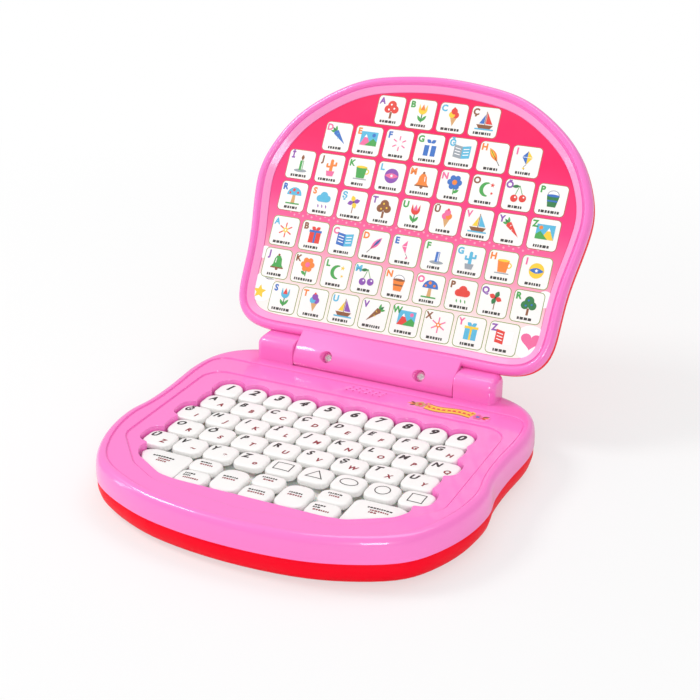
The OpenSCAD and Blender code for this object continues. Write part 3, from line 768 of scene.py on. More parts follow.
# %% Geometry Nodes helpers
def start_tree(name, inputs):
    tree = bpy.data.node_groups.new(name, "GeometryNodeTree")
    tree.interface.new_socket("Points", in_out="INPUT", socket_type="NodeSocketGeometry")
    for label, kind in inputs:
        tree.interface.new_socket(label, in_out="INPUT", socket_type=kind)
    tree.interface.new_socket("Result", in_out="OUTPUT", socket_type="NodeSocketGeometry")
    return tree, tree.nodes.new("NodeGroupInput"), tree.nodes.new("NodeGroupOutput")


def end_tree(tree, given, result, shape):
    """Puts a shape on the points, makes it real and gives it the Material input."""
    new, join = tree.nodes.new, tree.links.new
    copies, real, inked = (new("GeometryNode" + kind) for kind in (
        "InstanceOnPoints", "RealizeInstances", "SetMaterial"))
    join(given.outputs["Points"], copies.inputs["Points"])
    join(shape, copies.inputs["Instance"])
    join(copies.outputs["Instances"], real.inputs["Geometry"])
    join(real.outputs["Geometry"], inked.inputs["Geometry"])
    join(given.outputs["Material"], inked.inputs["Material"])
    join(inked.outputs["Geometry"], result.inputs["Result"])


def grow(name, tree, points, **values):
    """Runs a tree on points in millimetres and returns a plain piece in metres."""
    mesh = bpy.data.meshes.new(name)
    mesh.from_pydata([Vector(p) * MM for p in points], [], [])
    carrier = linked(name, mesh)
    modifier = carrier.modifiers.new("nodes", "NODES")
    modifier.node_group = tree
    sockets = {s.name: s.identifier for s in tree.interface.items_tree
               if s.item_type == "SOCKET" and s.in_out == "INPUT"}
    for label, value in values.items():
        modifier[sockets[label.replace("_", " ")]] = value
    mesh.update()
    grown = bpy.data.meshes.new_from_object(carrier.evaluated_get(
        bpy.context.evaluated_depsgraph_get()))
    carrier.modifiers.remove(modifier)
    bpy.data.objects.remove(carrier)
    print(name, "faces", len(grown.polygons))
    return linked(name, grown)


# %% A tree for rounded tiles
def tile_tree():
    tree, given, result = start_tree("rounded_tiles", [
        ("Width", "NodeSocketFloat"), ("Height", "NodeSocketFloat"),
        ("Corner", "NodeSocketFloat"), ("Material", "NodeSocketMaterial")])
    new, join = tree.nodes.new, tree.links.new
    outline, corners, sheet = (new("GeometryNode" + kind) for kind in (
        "CurvePrimitiveQuadrilateral", "FilletCurve", "FillCurve"))
    corners.mode = "POLY"
    sheet.mode = "NGONS"
    corners.inputs["Count"].default_value = 6
    join(given.outputs["Width"], outline.inputs["Width"])
    join(given.outputs["Height"], outline.inputs["Height"])
    join(outline.outputs["Curve"], corners.inputs["Curve"])
    join(given.outputs["Corner"], corners.inputs["Radius"])
    join(corners.outputs["Curve"], sheet.inputs["Curve"])
    end_tree(tree, given, result, sheet.outputs["Mesh"])
    return tree


rounded_tiles = tile_tree()

# %% [markdown]
# ## The picture card
# A printed card lies under the lid's rim. It runs from hot pink at the top to cream at the
# foot, where a few pale spots, a star and a heart are printed on it. The colour follows the
# height up the lid, found from the Object coordinates, so it stays in place when the lid turns.

# %% Card finish
CARD_STOPS = [(0.0, "#fffdf4"), (0.1, "#fdf3ea"), (0.22, "#fbbccb"), (0.35, "#fa74a6"),
              (0.5, "#fb4287"), (0.75, "#ff1863"), (1.0, "#ff145c")]
CARD_FOOT, CARD_HEAD = 20, 175


def card_colours(tree, place):
    join = tree.links.new
    up, share, ramp = (tree.nodes.new("ShaderNode" + kind) for kind in (
        "VectorMath", "MapRange", "ValToRGB"))
    up.operation = "DOT_PRODUCT"
    up.inputs[1].default_value = lid_up
    start = (HINGE * MM).dot(lid_up)
    share.inputs["From Min"].default_value = start + CARD_FOOT * MM
    share.inputs["From Max"].default_value = start + CARD_HEAD * MM
    join(place.outputs["Object"], up.inputs[0])
    join(up.outputs["Value"], share.inputs["Value"])
    join(share.outputs["Result"], ramp.inputs["Fac"])
    band = ramp.color_ramp.elements
    for stop, (position, code) in zip(band, (CARD_STOPS[0], CARD_STOPS[-1])):
        stop.position, stop.color = position, colour(code)
    for position, code in CARD_STOPS[1:-1]:
        band.new(position).color = colour(code)
    return ramp.outputs["Color"]


card_print = finish("card_print", "#ffffff", "#ffb0cc", patchiness=0.1, patch_scale=22,
                    rough=0.42, grain_scale=1800, grain_depth=0.006, colour_from=card_colours,
                    Coat_Weight=0.08, Coat_Roughness=0.15, Specular_IOR_Level=0.2)

# %% Tiles
TILE_PITCH = 20.51
UPPER_ROWS = [(157.6, 4), (136.9, 7), (116.3, 9), (95.6, 9)]
LOWER_ROWS = [(72.9, 9), (52.2, 9), (31.5, 8)]
CARD_FACE = -0.4


def row_points(rows, lift):
    return [((i - (count - 1) / 2) * TILE_PITCH, v, CARD_FACE + lift)
            for v, count in rows for i in range(count)]


def lid_print(piece):
    place_on_lid(piece)
    belongs(piece, "lid", "card")


TILE_EDGE = dict(Width=18.6 * MM, Height=19.2 * MM, Corner=2.7 * MM)
TILE_FACE = dict(Width=17.7 * MM, Height=18.3 * MM, Corner=2.3 * MM)
DOT = dict(Width=1.3 * MM, Height=1.3 * MM, Corner=0.64 * MM)
for name, rows, line in (("upper", UPPER_ROWS, brown_line), ("lower", LOWER_ROWS, green_line)):
    lid_print(grow(name + "_tile_edges", rounded_tiles, row_points(rows, 0.05),
                   Material=line, **TILE_EDGE))
    lid_print(grow(name + "_tile_faces", rounded_tiles, row_points(rows, 0.09),
                   Material=tile_paper, **TILE_FACE))
dot_points = [(x * 3.0, 84.3 + 1.6 * (x % 2), CARD_FACE + 0.05) for x in range(-27, 28)]
lid_print(grow("dotted_line", rounded_tiles, dot_points, Material=pink_dots, **DOT))

# %% [markdown]
# ## The little pictures
# Each tile has a coloured letter, a small picture and a short printed strip. The pictures are
# simple things of no particular maker: flowers, leaves, boats, kites, bells. Each is a list of
# flat shapes, drawn back to front, every shape a hair above the one before. All are in one
# mesh, and each face carries its own colour in an attribute that the ink finish reads.

# %% Picture shapes
INKS = {"r": "#e5392c", "o": "#f5852a", "y": "#fbd02f", "g": "#3fa648", "d": "#1f7a3d",
        "b": "#2f6fc4", "c": "#53b9dd", "p": "#8a4bb0", "k": "#f06aa0", "n": "#8b5228",
        "t": "#d9a56a", "w": "#ffffff", "s": "#9aa3ab", "x": "#2b2623"}


def disc(x, y, rx, ry=None, sides=18):
    return [around(x, y, rx, math.tau * i / sides, ry) for i in range(sides)]


def bar(x0, y0, x1, y1, width=0.12):
    along = Vector((x1 - x0, y1 - y0)).normalized() * width / 2
    side = Vector((-along.y, along.x))
    a, b = Vector((x0, y0)), Vector((x1, y1))
    return [a - side, b - side, b + side, a + side]


def star(x, y, outer, inner, points=5):
    return [around(x, y, inner if i % 2 else outer, math.radians(90 + 180 * i / points))
            for i in range(2 * points)]


def half_disc(x, y, r, ry=None, start=0, sides=12):
    return [around(x, y, r, math.radians(start + 180 * i / sides), ry)
            for i in range(sides + 1)]


def leaf_blade(x, y, length, width, turn):
    c, s = math.cos(math.radians(turn)), math.sin(math.radians(turn))
    side = [(length * i / 6, width * math.sin(math.pi * i / 6)) for i in range(7)]
    line = side[::-1] + [(a, -b) for a, b in side[1:-1]]
    return [(x + a * c - b * s, y + a * s + b * c) for a, b in reversed(line)]


# %% Picture motifs, part one
def flower(a, b):
    petals = [(a, disc(*spot, 0.3)) for spot in circle(0, 0.25, 0.5, 6)]
    return [("g", bar(0, 0, 0.05, -1, 0.12)), ("g", leaf_blade(0, -0.85, 0.7, 0.16, 30))] \
        + petals + [(b, disc(0, 0.25, 0.27))]


def tulip(a, b):
    return [("d", bar(0, -1, 0, 0, 0.12)), ("g", leaf_blade(0, -0.95, 0.9, 0.15, 55)),
            ("g", leaf_blade(0, -0.95, 0.8, 0.15, 125)),
            (a, half_disc(0, 0.35, 0.48, 0.5, 180)), (a, [(-0.48, 0.35), (-0.2, 0.35), (-0.42, 0.95)]),
            (a, [(0.2, 0.35), (0.48, 0.35), (0.42, 0.95)]), (b, [(-0.25, 0.3), (0.25, 0.3), (0, 0.95)])]


def boat(a, b):
    return [("n", bar(0, -0.5, 0, 0.95, 0.08)), (a, [(0.08, -0.35), (0.8, -0.35), (0.08, 0.85)]),
            (b, [(-0.08, -0.35), (-0.08, 0.65), (-0.62, -0.35)]),
            ("n", [(-0.6, -0.85), (0.6, -0.85), (0.9, -0.45), (-0.9, -0.45)]),
            ("c", bar(-1, -0.92, 1, -0.92, 0.14))]


def kite(a, b):
    return [("x", bar(0, -0.45, 0.25, -0.75, 0.05)), ("x", bar(0.25, -0.75, 0.1, -1, 0.05)),
            (a, [(0, 0.95), (-0.55, 0.3), (0, -0.45)]), (b, [(0, 0.95), (0, -0.45), (0.55, 0.3)]),
            ("w", bar(-0.55, 0.3, 0.55, 0.3, 0.05)), (a, star(0.2, -0.85, 0.16, 0.07, 4))]


def mushroom(a, b):
    return [("t", [(-0.22, -0.9), (0.22, -0.9), (0.16, 0.1), (-0.16, 0.1)]),
            (a, half_disc(0, 0, 0.85, 0.85)), (b, disc(-0.4, 0.3, 0.14)), (b, disc(0.1, 0.55, 0.17)),
            (b, disc(0.5, 0.22, 0.12)), ("g", bar(-0.8, -0.92, 0.8, -0.92, 0.14))]


def night(a, b):
    moon = [around(0, 0, 0.75, math.radians(t)) for t in range(70, 295, 15)]
    hollow = [around(0.28, 0, 0.62, math.radians(t)) for t in range(265, 90, -15)]
    return [(a, moon + hollow), (b, star(0.55, 0.5, 0.26, 0.11)), (b, star(0.62, -0.35, 0.18, 0.08))]


def tree_icon(a, b):
    return [("n", bar(0, -1, 0, -0.3, 0.24)), (a, disc(-0.38, 0.0, 0.42)), (a, disc(0.38, 0.0, 0.42)),
            (a, disc(0, 0.45, 0.48)), (b, disc(-0.3, 0.1, 0.1)), (b, disc(0.28, -0.05, 0.1)),
            (b, disc(0.08, 0.5, 0.1))]


def cherries(a, b):
    return [("g", bar(-0.4, -0.2, 0.1, 0.85, 0.07)), ("g", bar(0.45, -0.3, 0.1, 0.85, 0.07)),
            ("d", leaf_blade(0.1, 0.8, 0.8, 0.17, -10)), (a, disc(-0.42, -0.42, 0.38)),
            (a, disc(0.46, -0.5, 0.38)), ("w", disc(-0.52, -0.3, 0.09)), ("w", disc(0.36, -0.38, 0.09))]


def gift(a, b):
    return [(a, [(-0.65, -0.9), (0.65, -0.9), (0.65, 0.25), (-0.65, 0.25)]),
            (b, bar(0, -0.9, 0, 0.45, 0.22)), (b, bar(-0.72, 0.35, 0.72, 0.35, 0.24)),
            (a, leaf_blade(0, 0.48, 0.6, 0.2, 35)), (a, leaf_blade(0, 0.48, 0.6, 0.2, 145))]


def bell(a, b):
    return [("n", disc(0, -0.72, 0.17)),
            (a, [(-0.75, -0.6), (0.75, -0.6), (0.5, -0.25), (0.42, 0.35), (0.2, 0.68), (-0.2, 0.68),
                 (-0.42, 0.35), (-0.5, -0.25)]), (b, bar(-0.75, -0.6, 0.75, -0.6, 0.14)),
            (b, disc(0, 0.78, 0.13)), ("w", bar(-0.25, -0.1, -0.2, 0.4, 0.08))]


# %% Picture motifs, part two
def cloud(a, b):
    drops = [(a, leaf_blade(x, -0.95, 0.42, 0.07, 75)) for x in (-0.5, -0.05, 0.4)]
    return drops + [(b, disc(-0.45, 0.1, 0.36)), (b, disc(0.45, 0.08, 0.36)), (b, disc(0, 0.38, 0.45)),
                    (b, bar(-0.45, -0.1, 0.45, -0.1, 0.36))]


def cup(a, b):
    return [(b, disc(0.62, 0.05, 0.3)), ("w", disc(0.62, 0.05, 0.17)),
            (a, [(-0.45, -0.7), (0.45, -0.7), (0.62, 0.5), (-0.62, 0.5)]), (b, disc(0, 0.5, 0.62, 0.13)),
            ("s", bar(-0.75, -0.8, 0.75, -0.8, 0.1))]


def ball(a, b):
    return [(a, disc(0, 0, 0.78, sides=24)), (b, leaf_blade(-0.76, 0, 1.52, 0.28, 0)),
            ("w", star(0, 0, 0.2, 0.09))]


def carrot(a, b):
    return [("g", leaf_blade(0.35, 0.35, 0.75, 0.13, 80)), ("d", leaf_blade(0.35, 0.35, 0.7, 0.13, 45)),
            ("g", leaf_blade(0.35, 0.35, 0.7, 0.13, 10)),
            (a, [(-0.85, -0.85), (0.6, 0.15), (0.55, 0.45), (0.15, 0.6)]),
            (b, bar(-0.1, -0.15, 0.1, -0.32, 0.06)), (b, bar(0.05, 0.3, 0.2, 0.15, 0.06))]


def candle(a, b):
    return [("s", disc(0, -0.8, 0.75, 0.18)), (a, bar(0, -0.75, 0, 0.3, 0.42)),
            ("w", bar(-0.1, -0.7, -0.1, 0.25, 0.07)), (b, leaf_blade(0, 0.3, 0.65, 0.17, 90))]


def book(a, b):
    return [(a, [(-0.9, -0.6), (0, -0.75), (0, 0.55), (-0.9, 0.7)]),
            (b, [(0, -0.75), (0.9, -0.6), (0.9, 0.7), (0, 0.55)])] \
        + [("w", bar(-0.75, y + 0.05, -0.15, y - 0.05, 0.09)) for y in (-0.3, 0.0, 0.3)] \
        + [("w", bar(0.15, y - 0.05, 0.75, y + 0.05, 0.09)) for y in (-0.3, 0.0, 0.3)]


def hill(a, b):
    return [("c", bar(-0.95, 0.1, 0.95, 0.1, 1.5)), (b, disc(0.5, 0.5, 0.2)),
            (a, [(-0.95, -0.65), (0.35, -0.65), (-0.35, 0.55)]),
            ("g", [(-0.35, -0.65), (0.95, -0.65), (0.95, -0.2), (0.5, 0.15)]),
            ("w", [(-0.53, 0.25), (-0.17, 0.2), (-0.35, 0.55)])]


def ice(a, b):
    return [("t", [(0, -1), (0.42, 0.05), (-0.42, 0.05)]), (a, disc(-0.2, 0.2, 0.34)),
            (b, disc(0.22, 0.2, 0.34)), (a, disc(0.02, 0.58, 0.34)), ("r", disc(0.05, 0.9, 0.12))]


def cactus(a, b):
    return [(a, bar(0, -0.5, 0, 0.7, 0.36)), (a, disc(0, 0.7, 0.18)),
            (a, bar(-0.55, 0.05, 0, 0.05, 0.2)), (a, bar(-0.5, 0, -0.5, 0.4, 0.2)),
            (a, bar(0, 0.25, 0.55, 0.25, 0.2)), (a, bar(0.5, 0.2, 0.5, 0.6, 0.2)),
            (b, [(-0.35, -0.95), (0.35, -0.95), (0.48, -0.4), (-0.48, -0.4)])]


def bucket(a, b):
    return [("s", disc(0, 0.35, 0.62, 0.5)), ("w", disc(0, 0.35, 0.53, 0.42)),
            (a, [(-0.42, -0.85), (0.42, -0.85), (0.65, 0.3), (-0.65, 0.3)]), (b, disc(0, 0.3, 0.65, 0.14)),
            (b, bar(-0.52, -0.25, 0.52, -0.25, 0.16))]


def feather(a, b):
    return [(a, leaf_blade(-0.45, -0.55, 1.7, 0.3, 52)), (b, leaf_blade(-0.2, -0.25, 1.2, 0.14, 52)),
            ("x", bar(-0.75, -0.95, 0.4, 0.55, 0.06))]


def spinner(a, b):
    blades = [((a, b)[i % 2], leaf_blade(0, 0.2, 0.72, 0.24, 90 * i + 20)) for i in range(4)]
    return [("n", bar(0, -1, 0, 0.2, 0.09))] + blades + [("x", disc(0, 0.2, 0.1))]


def snow(a, b):
    arms = [(a, bar(*around(0, 0, 0.8, math.radians(t)), *around(0, 0, -0.8, math.radians(t)),
                    0.13)) for t in (30, 90, 150)]
    return arms + [(b, star(0, 0, 0.42, 0.2, 6)), ("w", disc(0, 0, 0.1))]


MOTIFS = [flower, boat, cup, tree_icon, kite, mushroom, gift, night, carrot, ball, tulip, candle,
          cloud, book, cherries, hill, bell, ice, cactus, spinner, feather, bucket, snow]
PAIRS = ["ry", "bw", "ok", "gr", "py", "rw", "kb", "yb", "on", "cr", "ko", "rb", "cs", "gy", "rd",
         "ny", "yo", "kw", "gn", "bo", "pc", "cy", "bc", "oy", "pk", "db", "rk"]
print("motifs", len(MOTIFS))

# %% Printing the tiles
UPPER_LETTERS = "ABCÇDEFGĞHIİJKLMNOÖPRSŞTUÜVYZ"
LOWER_LETTERS = "ABCDEFGHIJKLMNOPQRSTUVWXYZ"
LETTER_INKS = "pgcnkobgcokpngcoknpgbocpgnk"
PICTURE_SIZE = 5.9
TILE_LETTER = 4.0
STRIP_HEIGHT = 1.6
LAYER = 0.02


def facing_up(points):
    """The same flat shape, turned over if it runs clockwise."""
    area = sum(a[0] * b[1] - b[0] * a[1] for a, b in zip(points, points[1:] + points[:1]))
    return points if area > 0 else points[::-1]


def ink_mesh():
    bm = bmesh.new()
    bm.loops.layers.float_color.new("ink")
    return bm


def add_print(bm, corners, code, at, height, faces=None):
    """One flat colour at a place: a single face, or the given faces over the corners."""
    layer = bm.loops.layers.float_color["ink"]
    made = [bm.verts.new((c[0] + at[0], c[1] + at[1], height)) for c in corners]
    for face in faces or [range(len(made))]:
        for loop in bm.faces.new([made[i] for i in face]).loops:
            loop[layer] = colour(INKS[code])


def print_tile(bm, letter, number, x, v, chance):
    base = CARD_FACE + 0.13
    corners, faces = sign(letter, TILE_LETTER, 0, 0.045)
    add_print(bm, corners, LETTER_INKS[number % len(LETTER_INKS)], (x - 6.2, v + 6.0), base,
              faces)
    motif = MOTIFS[(number * 7 + 3) % len(MOTIFS)]
    a, b = PAIRS[(number * 11 + 5) % len(PAIRS)]
    mirror = -1 if chance.random() < 0.5 else 1
    for level, (code, shape) in enumerate(motif(a, b)):
        points = facing_up([(mirror * p[0] * PICTURE_SIZE, p[1] * PICTURE_SIZE) for p in shape])
        add_print(bm, points, code, (x + 0.6, v + 0.9), base + LAYER * level)
    length = chance.uniform(8.5, 13)
    left = -length / 2
    while left < length / 2 - 0.8:
        width = chance.choice((0.9, 1.3, 2.0))
        dash = bar(left, 0, min(left + width, length / 2), 0, STRIP_HEIGHT)
        add_print(bm, dash, "x", (x, v - 7.1), base)
        left += width + 0.45


def print_all_tiles():
    bm = ink_mesh()
    chance = random.Random(11)
    spots = row_points(UPPER_ROWS + LOWER_ROWS, 0)
    for number, (letter, (x, v, _)) in enumerate(zip(UPPER_LETTERS + LOWER_LETTERS, spots)):
        print_tile(bm, letter, number, x, v, chance)
    print("tiles printed", len(spots))
    return bm


lid_print(piece_from("card_pictures", print_all_tiles(), [printed_ink]))


# %% Soft shapes at the foot of the card
def foot_shapes():
    bm = ink_mesh()
    height = CARD_FACE + 0.03
    for x, v, r in ((-88, 36, 9), (-84, 47, 6), (88, 32, 10), (91, 58, 5), (-92, 58, 4)):
        add_print(bm, disc(x, v, r, sides=28), "w", (0, 0), height)
    add_print(bm, star(-89, 33, 4.6, 2.2), "y", (0, 0), height + LAYER)
    heart = [(6.2 * math.sin(t) ** 3, 5.4 * (0.81 * math.cos(t) - 0.31 * math.cos(2 * t)
              - 0.13 * math.cos(3 * t) - 0.06 * math.cos(4 * t)))
             for t in (math.tau * -i / 32 for i in range(32))]
    add_print(bm, heart, "k", (88.5, 33), height + LAYER)
    return bm


lid_print(piece_from("card_foot_print", foot_shapes(), [printed_ink]))

# %% [markdown]
# ## The decal on the deck
# Behind the keys at the right is a small shiny decal: a wavy band in orange and yellow with
# dots, between flowers and leaves. Such a decal is a printed film, so it is drawn like the
# tiles, as flat shapes one a hair above the other on the film's own piece.

# %% Deck decal
STICKER = (55.7, 61.5)
STICKER_TOP = 27.0
BANDS = [("n", 0, 7.4), ("o", 0, 6.4), ("y", 1.9, 1.6), ("y", -1.9, 1.6), ("r", 0, 1.5)]
BLOOMS = [(-17.5, 0.6, 3.4, "t", "r"), (18, -0.4, 3.1, "k", "b"), (-13.2, 2.8, 1.9, "k", "y"),
          (13.8, 2.4, 2.0, "y", "r")]
LEAVES = [(-19.5, 150, 5.2, "n"), (-19.8, 180, 5.4, "o"), (-19, 212, 4.8, "n"),
          (20, 28, 5.0, "n"), (20.2, 2, 5.0, "o"), (19.6, -30, 4.4, "r")]


def decal_print():
    bm = ink_mesh()

    def patch(corners, code, x, y, lift):
        add_print(bm, corners, code, (STICKER[0] + x, STICKER[1] + y),
                  STICKER_TOP + 0.03 + LAYER * lift)

    wave = [(x, math.sin(x / 4.2)) for x in range(-14, 15)]
    for lift, (code, offset, width) in enumerate(BANDS):
        line = [(x, y + offset + width / 2) for x, y in wave]
        back = [(x, y + offset - width / 2) for x, y in wave]
        patch(back + line[::-1], code, 0, 0, lift)
    for x, y in wave[1::3]:
        patch(disc(0, 0, 0.75, sides=12), "y", x, y, 5)
    for x, y, r, petal, middle in BLOOMS:
        for i in range(5):
            spot = around(0, 0, 0.6 * r, math.tau * i / 5 + 0.3)
            patch(disc(*spot, 0.42 * r, sides=14), petal, x, y, 6)
        patch(disc(0, 0, 0.36 * r, sides=14), middle, x, y, 7)
    for x, turn, length, code in LEAVES:
        patch(leaf_blade(0, 0, length, 0.8, turn), code, x, 0, 3)
    return bm


belongs(piece_from("deck_decal_print", decal_print(), [printed_ink]), "base", "sticker")

# %% [markdown]
# ## Signs on the function keys
# The ten keys in front each have a row of small black dashes and rows of dark red ones, in the
# size of small type. They stand where a toy names each key in two languages, and they hold no
# words. They are laid on the domed caps like the letters.

# %% Function key signs
TYPE_PITCH, TYPE_HEIGHT = 2.1, 1.25
type_chance = random.Random(5)


def type_rows(x, y, lengths):
    """Rows of dashes, each dash about as wide as a small letter."""
    dashes = []
    for row, length in enumerate(lengths):
        left, end, low = x, x + length, y - TYPE_PITCH * row
        while left < end - 0.5:
            right = min(left + type_chance.choice((0.7, 1.0, 1.4)), end)
            dashes.append(bar(left, low, right, low, TYPE_HEIGHT))
            left = right + 0.4
    return dashes


KEY_TYPE = [((-6.2, 4.6, (13,)), (-1.6, 2.2, (8, 6.5))), ((-4.2, 2.0, (7,)), (-3.4, -0.3, (7.5,))),
            ((-5.6, 2.4, (6, 4.5)), (-4.4, -2.0, (9.5,))), ((-4.8, 2.0, (8.5,)), (-4.2, -0.3, (7.5,))),
            ((-4.8, 2.0, (8.5,)), (-3.2, -0.3, (6,))), ((-5.2, 1.8, (10,)), (-4.6, -0.5, (9.5,))),
            ((-4.0, 2.0, (7.5,)), (-3.8, -0.3, (8,))), ((-4.6, 2.0, (8.5,)), (-3.0, -0.3, (6,))),
            ((-5.4, 2.4, (6.5, 4)), (-4.4, -2.0, (9,))), ((-5.8, 4.8, (13.5,)), (-3.4, 2.2, (10, 5)))]
for number, black_and_red in enumerate(KEY_TYPE, 1):
    node = "function_key_%d" % number
    (middle,), top = places[node]
    bm = bmesh.new()
    for material, rows in enumerate(black_and_red):
        for dash in type_rows(*rows):
            lay(bm, dash, [range(4)], middle, key_surface(middle, top), material)
    sign_piece(node, bm)
print("function signs", len(KEY_TYPE))

# %% [markdown]
# ## The shells' outlines
# The base and the lid are drawn round two smooth closed curves. Each is a cubic B-spline with
# a few control points for one half, mirrored for the other, which keeps the waist and the
# broad corners free of flats. The numbers are shares of the half width and depth.

# %% Spline outlines
HALF_WIDTH = 110
BASE_HALF_DEPTH = 100
LID_FOOT, LID_TOP = 10.7, 181.6
BASE_SIDE = [(0, -1.012), (0.368, -0.976), (0.573, -0.905), (0.807, -0.781), (0.908, -0.623),
             (0.993, -0.384), (1.009, -0.118), (0.973, -0.041), (0.97, 0.248), (0.987, 0.425),
             (0.983, 0.608), (0.93, 0.798), (0.758, 0.945), (0.423, 0.996), (0, 1.001)]
LID_SIDE = [(0, 1.009), (0.32, 0.983), (0.499, 0.966), (0.762, 0.853), (0.895, 0.761),
            (1.009, 0.587), (0.987, 0.522), (0.966, 0.393), (0.94, 0.349), (0.933, 0.167),
            (0.944, 0.081), (0.863, 0.011), (0.726, -0.006), (0.455, 0.004), (0.182, -0.002),
            (0, 0.001)]


def spline_outline(side, place_y, steps=8):
    ring = side + [(-x, y) for x, y in side[-2:0:-1]]
    count = len(ring)
    loop = []
    for i in range(count):
        a, b, c, d = (Vector(ring[(i + k) % count]) for k in (-1, 0, 1, 2))
        for k in range(steps):
            t = k / steps
            point = ((1 - t) ** 3 * a + (3 * t ** 3 - 6 * t ** 2 + 4) * b
                     + (-3 * t ** 3 + 3 * t ** 2 + 3 * t + 1) * c + t ** 3 * d) / 6
            loop.append(Vector((point.x * HALF_WIDTH, place_y(point.y))))
    return loop


def evened(loop, step):
    """The same outline with its points at even distances."""
    closed = loop + loop[:1]
    total = sum((b - a).length for a, b in zip(closed, closed[1:]))
    count = round(total / step)
    fine, passed, wanted = [], 0.0, 0.0
    for a, b in zip(closed, closed[1:]):
        length = (b - a).length
        while len(fine) < count and wanted <= passed + length:
            fine.append(a.lerp(b, (wanted - passed) / length) if length else a)
            wanted += total / count
        passed += length
    return fine


def softened(loop, rounds):
    """Rounds the sharp turns of an outline by letting each point drift to its neighbours."""
    for _ in range(rounds):
        loop = [p * 0.5 + (loop[i - 1] + loop[(i + 1) % len(loop)]) * 0.25
                for i, p in enumerate(loop)]
    return loop


base_outline = spline_outline(BASE_SIDE, lambda y: y * BASE_HALF_DEPTH)
lid_outline = spline_outline(LID_SIDE, lambda y: LID_FOOT + y * (LID_TOP - LID_FOOT))[::-1]
lid_outline = softened(evened(lid_outline, 2.4), 22)
print("outline points", len(base_outline), len(lid_outline))


# %% Sweeps and flat fills
def eased(profile, steps=4):
    """A Catmull-Rom curve through the points of a profile, for soft mouldings."""
    fine = []
    last = len(profile) - 1
    for i in range(last):
        a, b, c, d = (Vector(profile[min(max(i + k, 0), last)]) for k in (-1, 0, 1, 2))
        for k in range(steps):
            t = k / steps
            fine.append(0.5 * (2 * b + (c - a) * t + (2 * a - 5 * b + 4 * c - d) * t * t
                               + (3 * b - a - 3 * c + d) * t ** 3))
    return fine + [Vector(profile[-1])]


def sweep(bm, loop, profile):
    """Rings of an outline at each (inset, height) of a profile, joined into a wall."""
    rings = [[bm.verts.new((p.x, p.y, height)) for p in inset(loop, distance)]
             for distance, height in profile]
    walls(bm, rings)
    return rings[0], rings[-1]


def flat_fill(bm, outer, holes=(), upwards=True):
    """Fills the flat area between closed rings of vertices with well-shaped triangles.
    A walk from the rim over the triangles tells inside from outside: each line that it
    crosses turns one into the other."""
    every, lines = [], []
    for ring in [outer] + list(holes):
        first = len(every)
        lines += [(first + i, first + (i + 1) % len(ring)) for i in range(len(ring))]
        every += ring
    points, edges, faces, origin, sources, _ = delaunay_2d_cdt(
        [v.co.xy for v in every], lines, [], 0, 1e-6)
    fences = {frozenset(edge) for edge, source in zip(edges, sources) if source}
    sides = [[frozenset(pair) for pair in zip(face, face[1:] + face[:1])] for face in faces]
    owners = {}
    for number, pairs in enumerate(sides):
        for pair in pairs:
            owners.setdefault(pair, []).append(number)
    inside = {}
    queue = [(found[0], pair in fences) for pair, found in owners.items() if len(found) == 1]
    while queue:
        number, state = queue.pop()
        if number not in inside:
            inside[number] = state
            queue += [(other, state != (pair in fences)) for pair in sides[number]
                      for other in owners[pair] if other not in inside]
    level = outer[0].co.z
    corners = [every[origin[i][0]] if origin[i] else bm.verts.new((p.x, p.y, level))
               for i, p in enumerate(points)]
    for number, face in enumerate(faces):
        if inside[number]:
            ring = [corners[i] for i in face]
            bm.faces.new(ring if upwards else ring[::-1])


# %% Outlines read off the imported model
def level_outlines(node, height):
    """The closed outlines of a node's upward flat faces at one height, longest first."""
    bm = bmesh.new()
    bm.from_mesh(frame["nodes"][node].data)
    bmesh.ops.remove_doubles(bm, verts=bm.verts, dist=1e-6)
    flat = {f for f in bm.faces if f.normal.z > 0.99
            and abs(f.calc_center_median().z - height * MM) < 2e-5}
    edges = {e for e in bm.edges if sum(f in flat for f in e.link_faces) == 1}
    loops = []
    while edges:
        edge = edges.pop()
        path = [edge.verts[0], edge.verts[1]]
        while True:
            ahead = next((e for e in path[-1].link_edges if e in edges), None)
            if ahead is None:
                break
            edges.discard(ahead)
            path.append(ahead.other_vert(path[-1]))
        points = [Vector((v.co.x, v.co.y)) / MM for v in path[:-1]]
        area = sum(a.x * b.y - b.x * a.y for a, b in zip(points, points[1:] + points[:1])) / 2
        loops.append((abs(area), points if area > 0 else points[::-1]))
    bm.free()
    return [points for area, points in sorted(loops, key=lambda item: -item[0])]


SEAM, RIM, DECK, FIELD = 14.0, 27.6, 26.8, 26.0
deck_loops = level_outlines("base_top_shell", DECK)
field_loops = level_outlines("base_top_shell", FIELD)
print("deck outlines", [len(p) for p in deck_loops][:4], "field outlines",
      [len(p) for p in field_loops][:4])

# %% [markdown]
# ## The base's upper shell
# This pink moulding is the toy's face: an upright skirt, a rounded rim, a deck one small step
# lower, a sunken field and a scalloped opening that follows the keys. All steps follow closed
# outlines, so the shell is a set of sweeps joined by flat fills. Every edge gets a small
# radius, because it is the radius that catches the light.

# %% Base top
WALL = 2.2
UNDERSIDE = 23.8
OPENING_FOOT = 18.3


def step_down(high, low, radius=0.39):
    """A small step with a rounded upper edge and a fine groove along its foot."""
    profile = [(-radius * 1.5, high), (-radius, high), (-radius * 0.4, high - radius * 0.2)]
    profile += [(-radius * 0.08, high - radius * 0.65), (radius * 0.08, low + radius * 0.65)]
    profile += [(radius * 0.2, low - 0.22), (radius * 0.4, low - 0.3), (radius * 1.5, low - 0.3)]
    return profile + [(radius * 1.8, low - 0.12), (radius * 2.1, low), (radius * 2.5, low)]


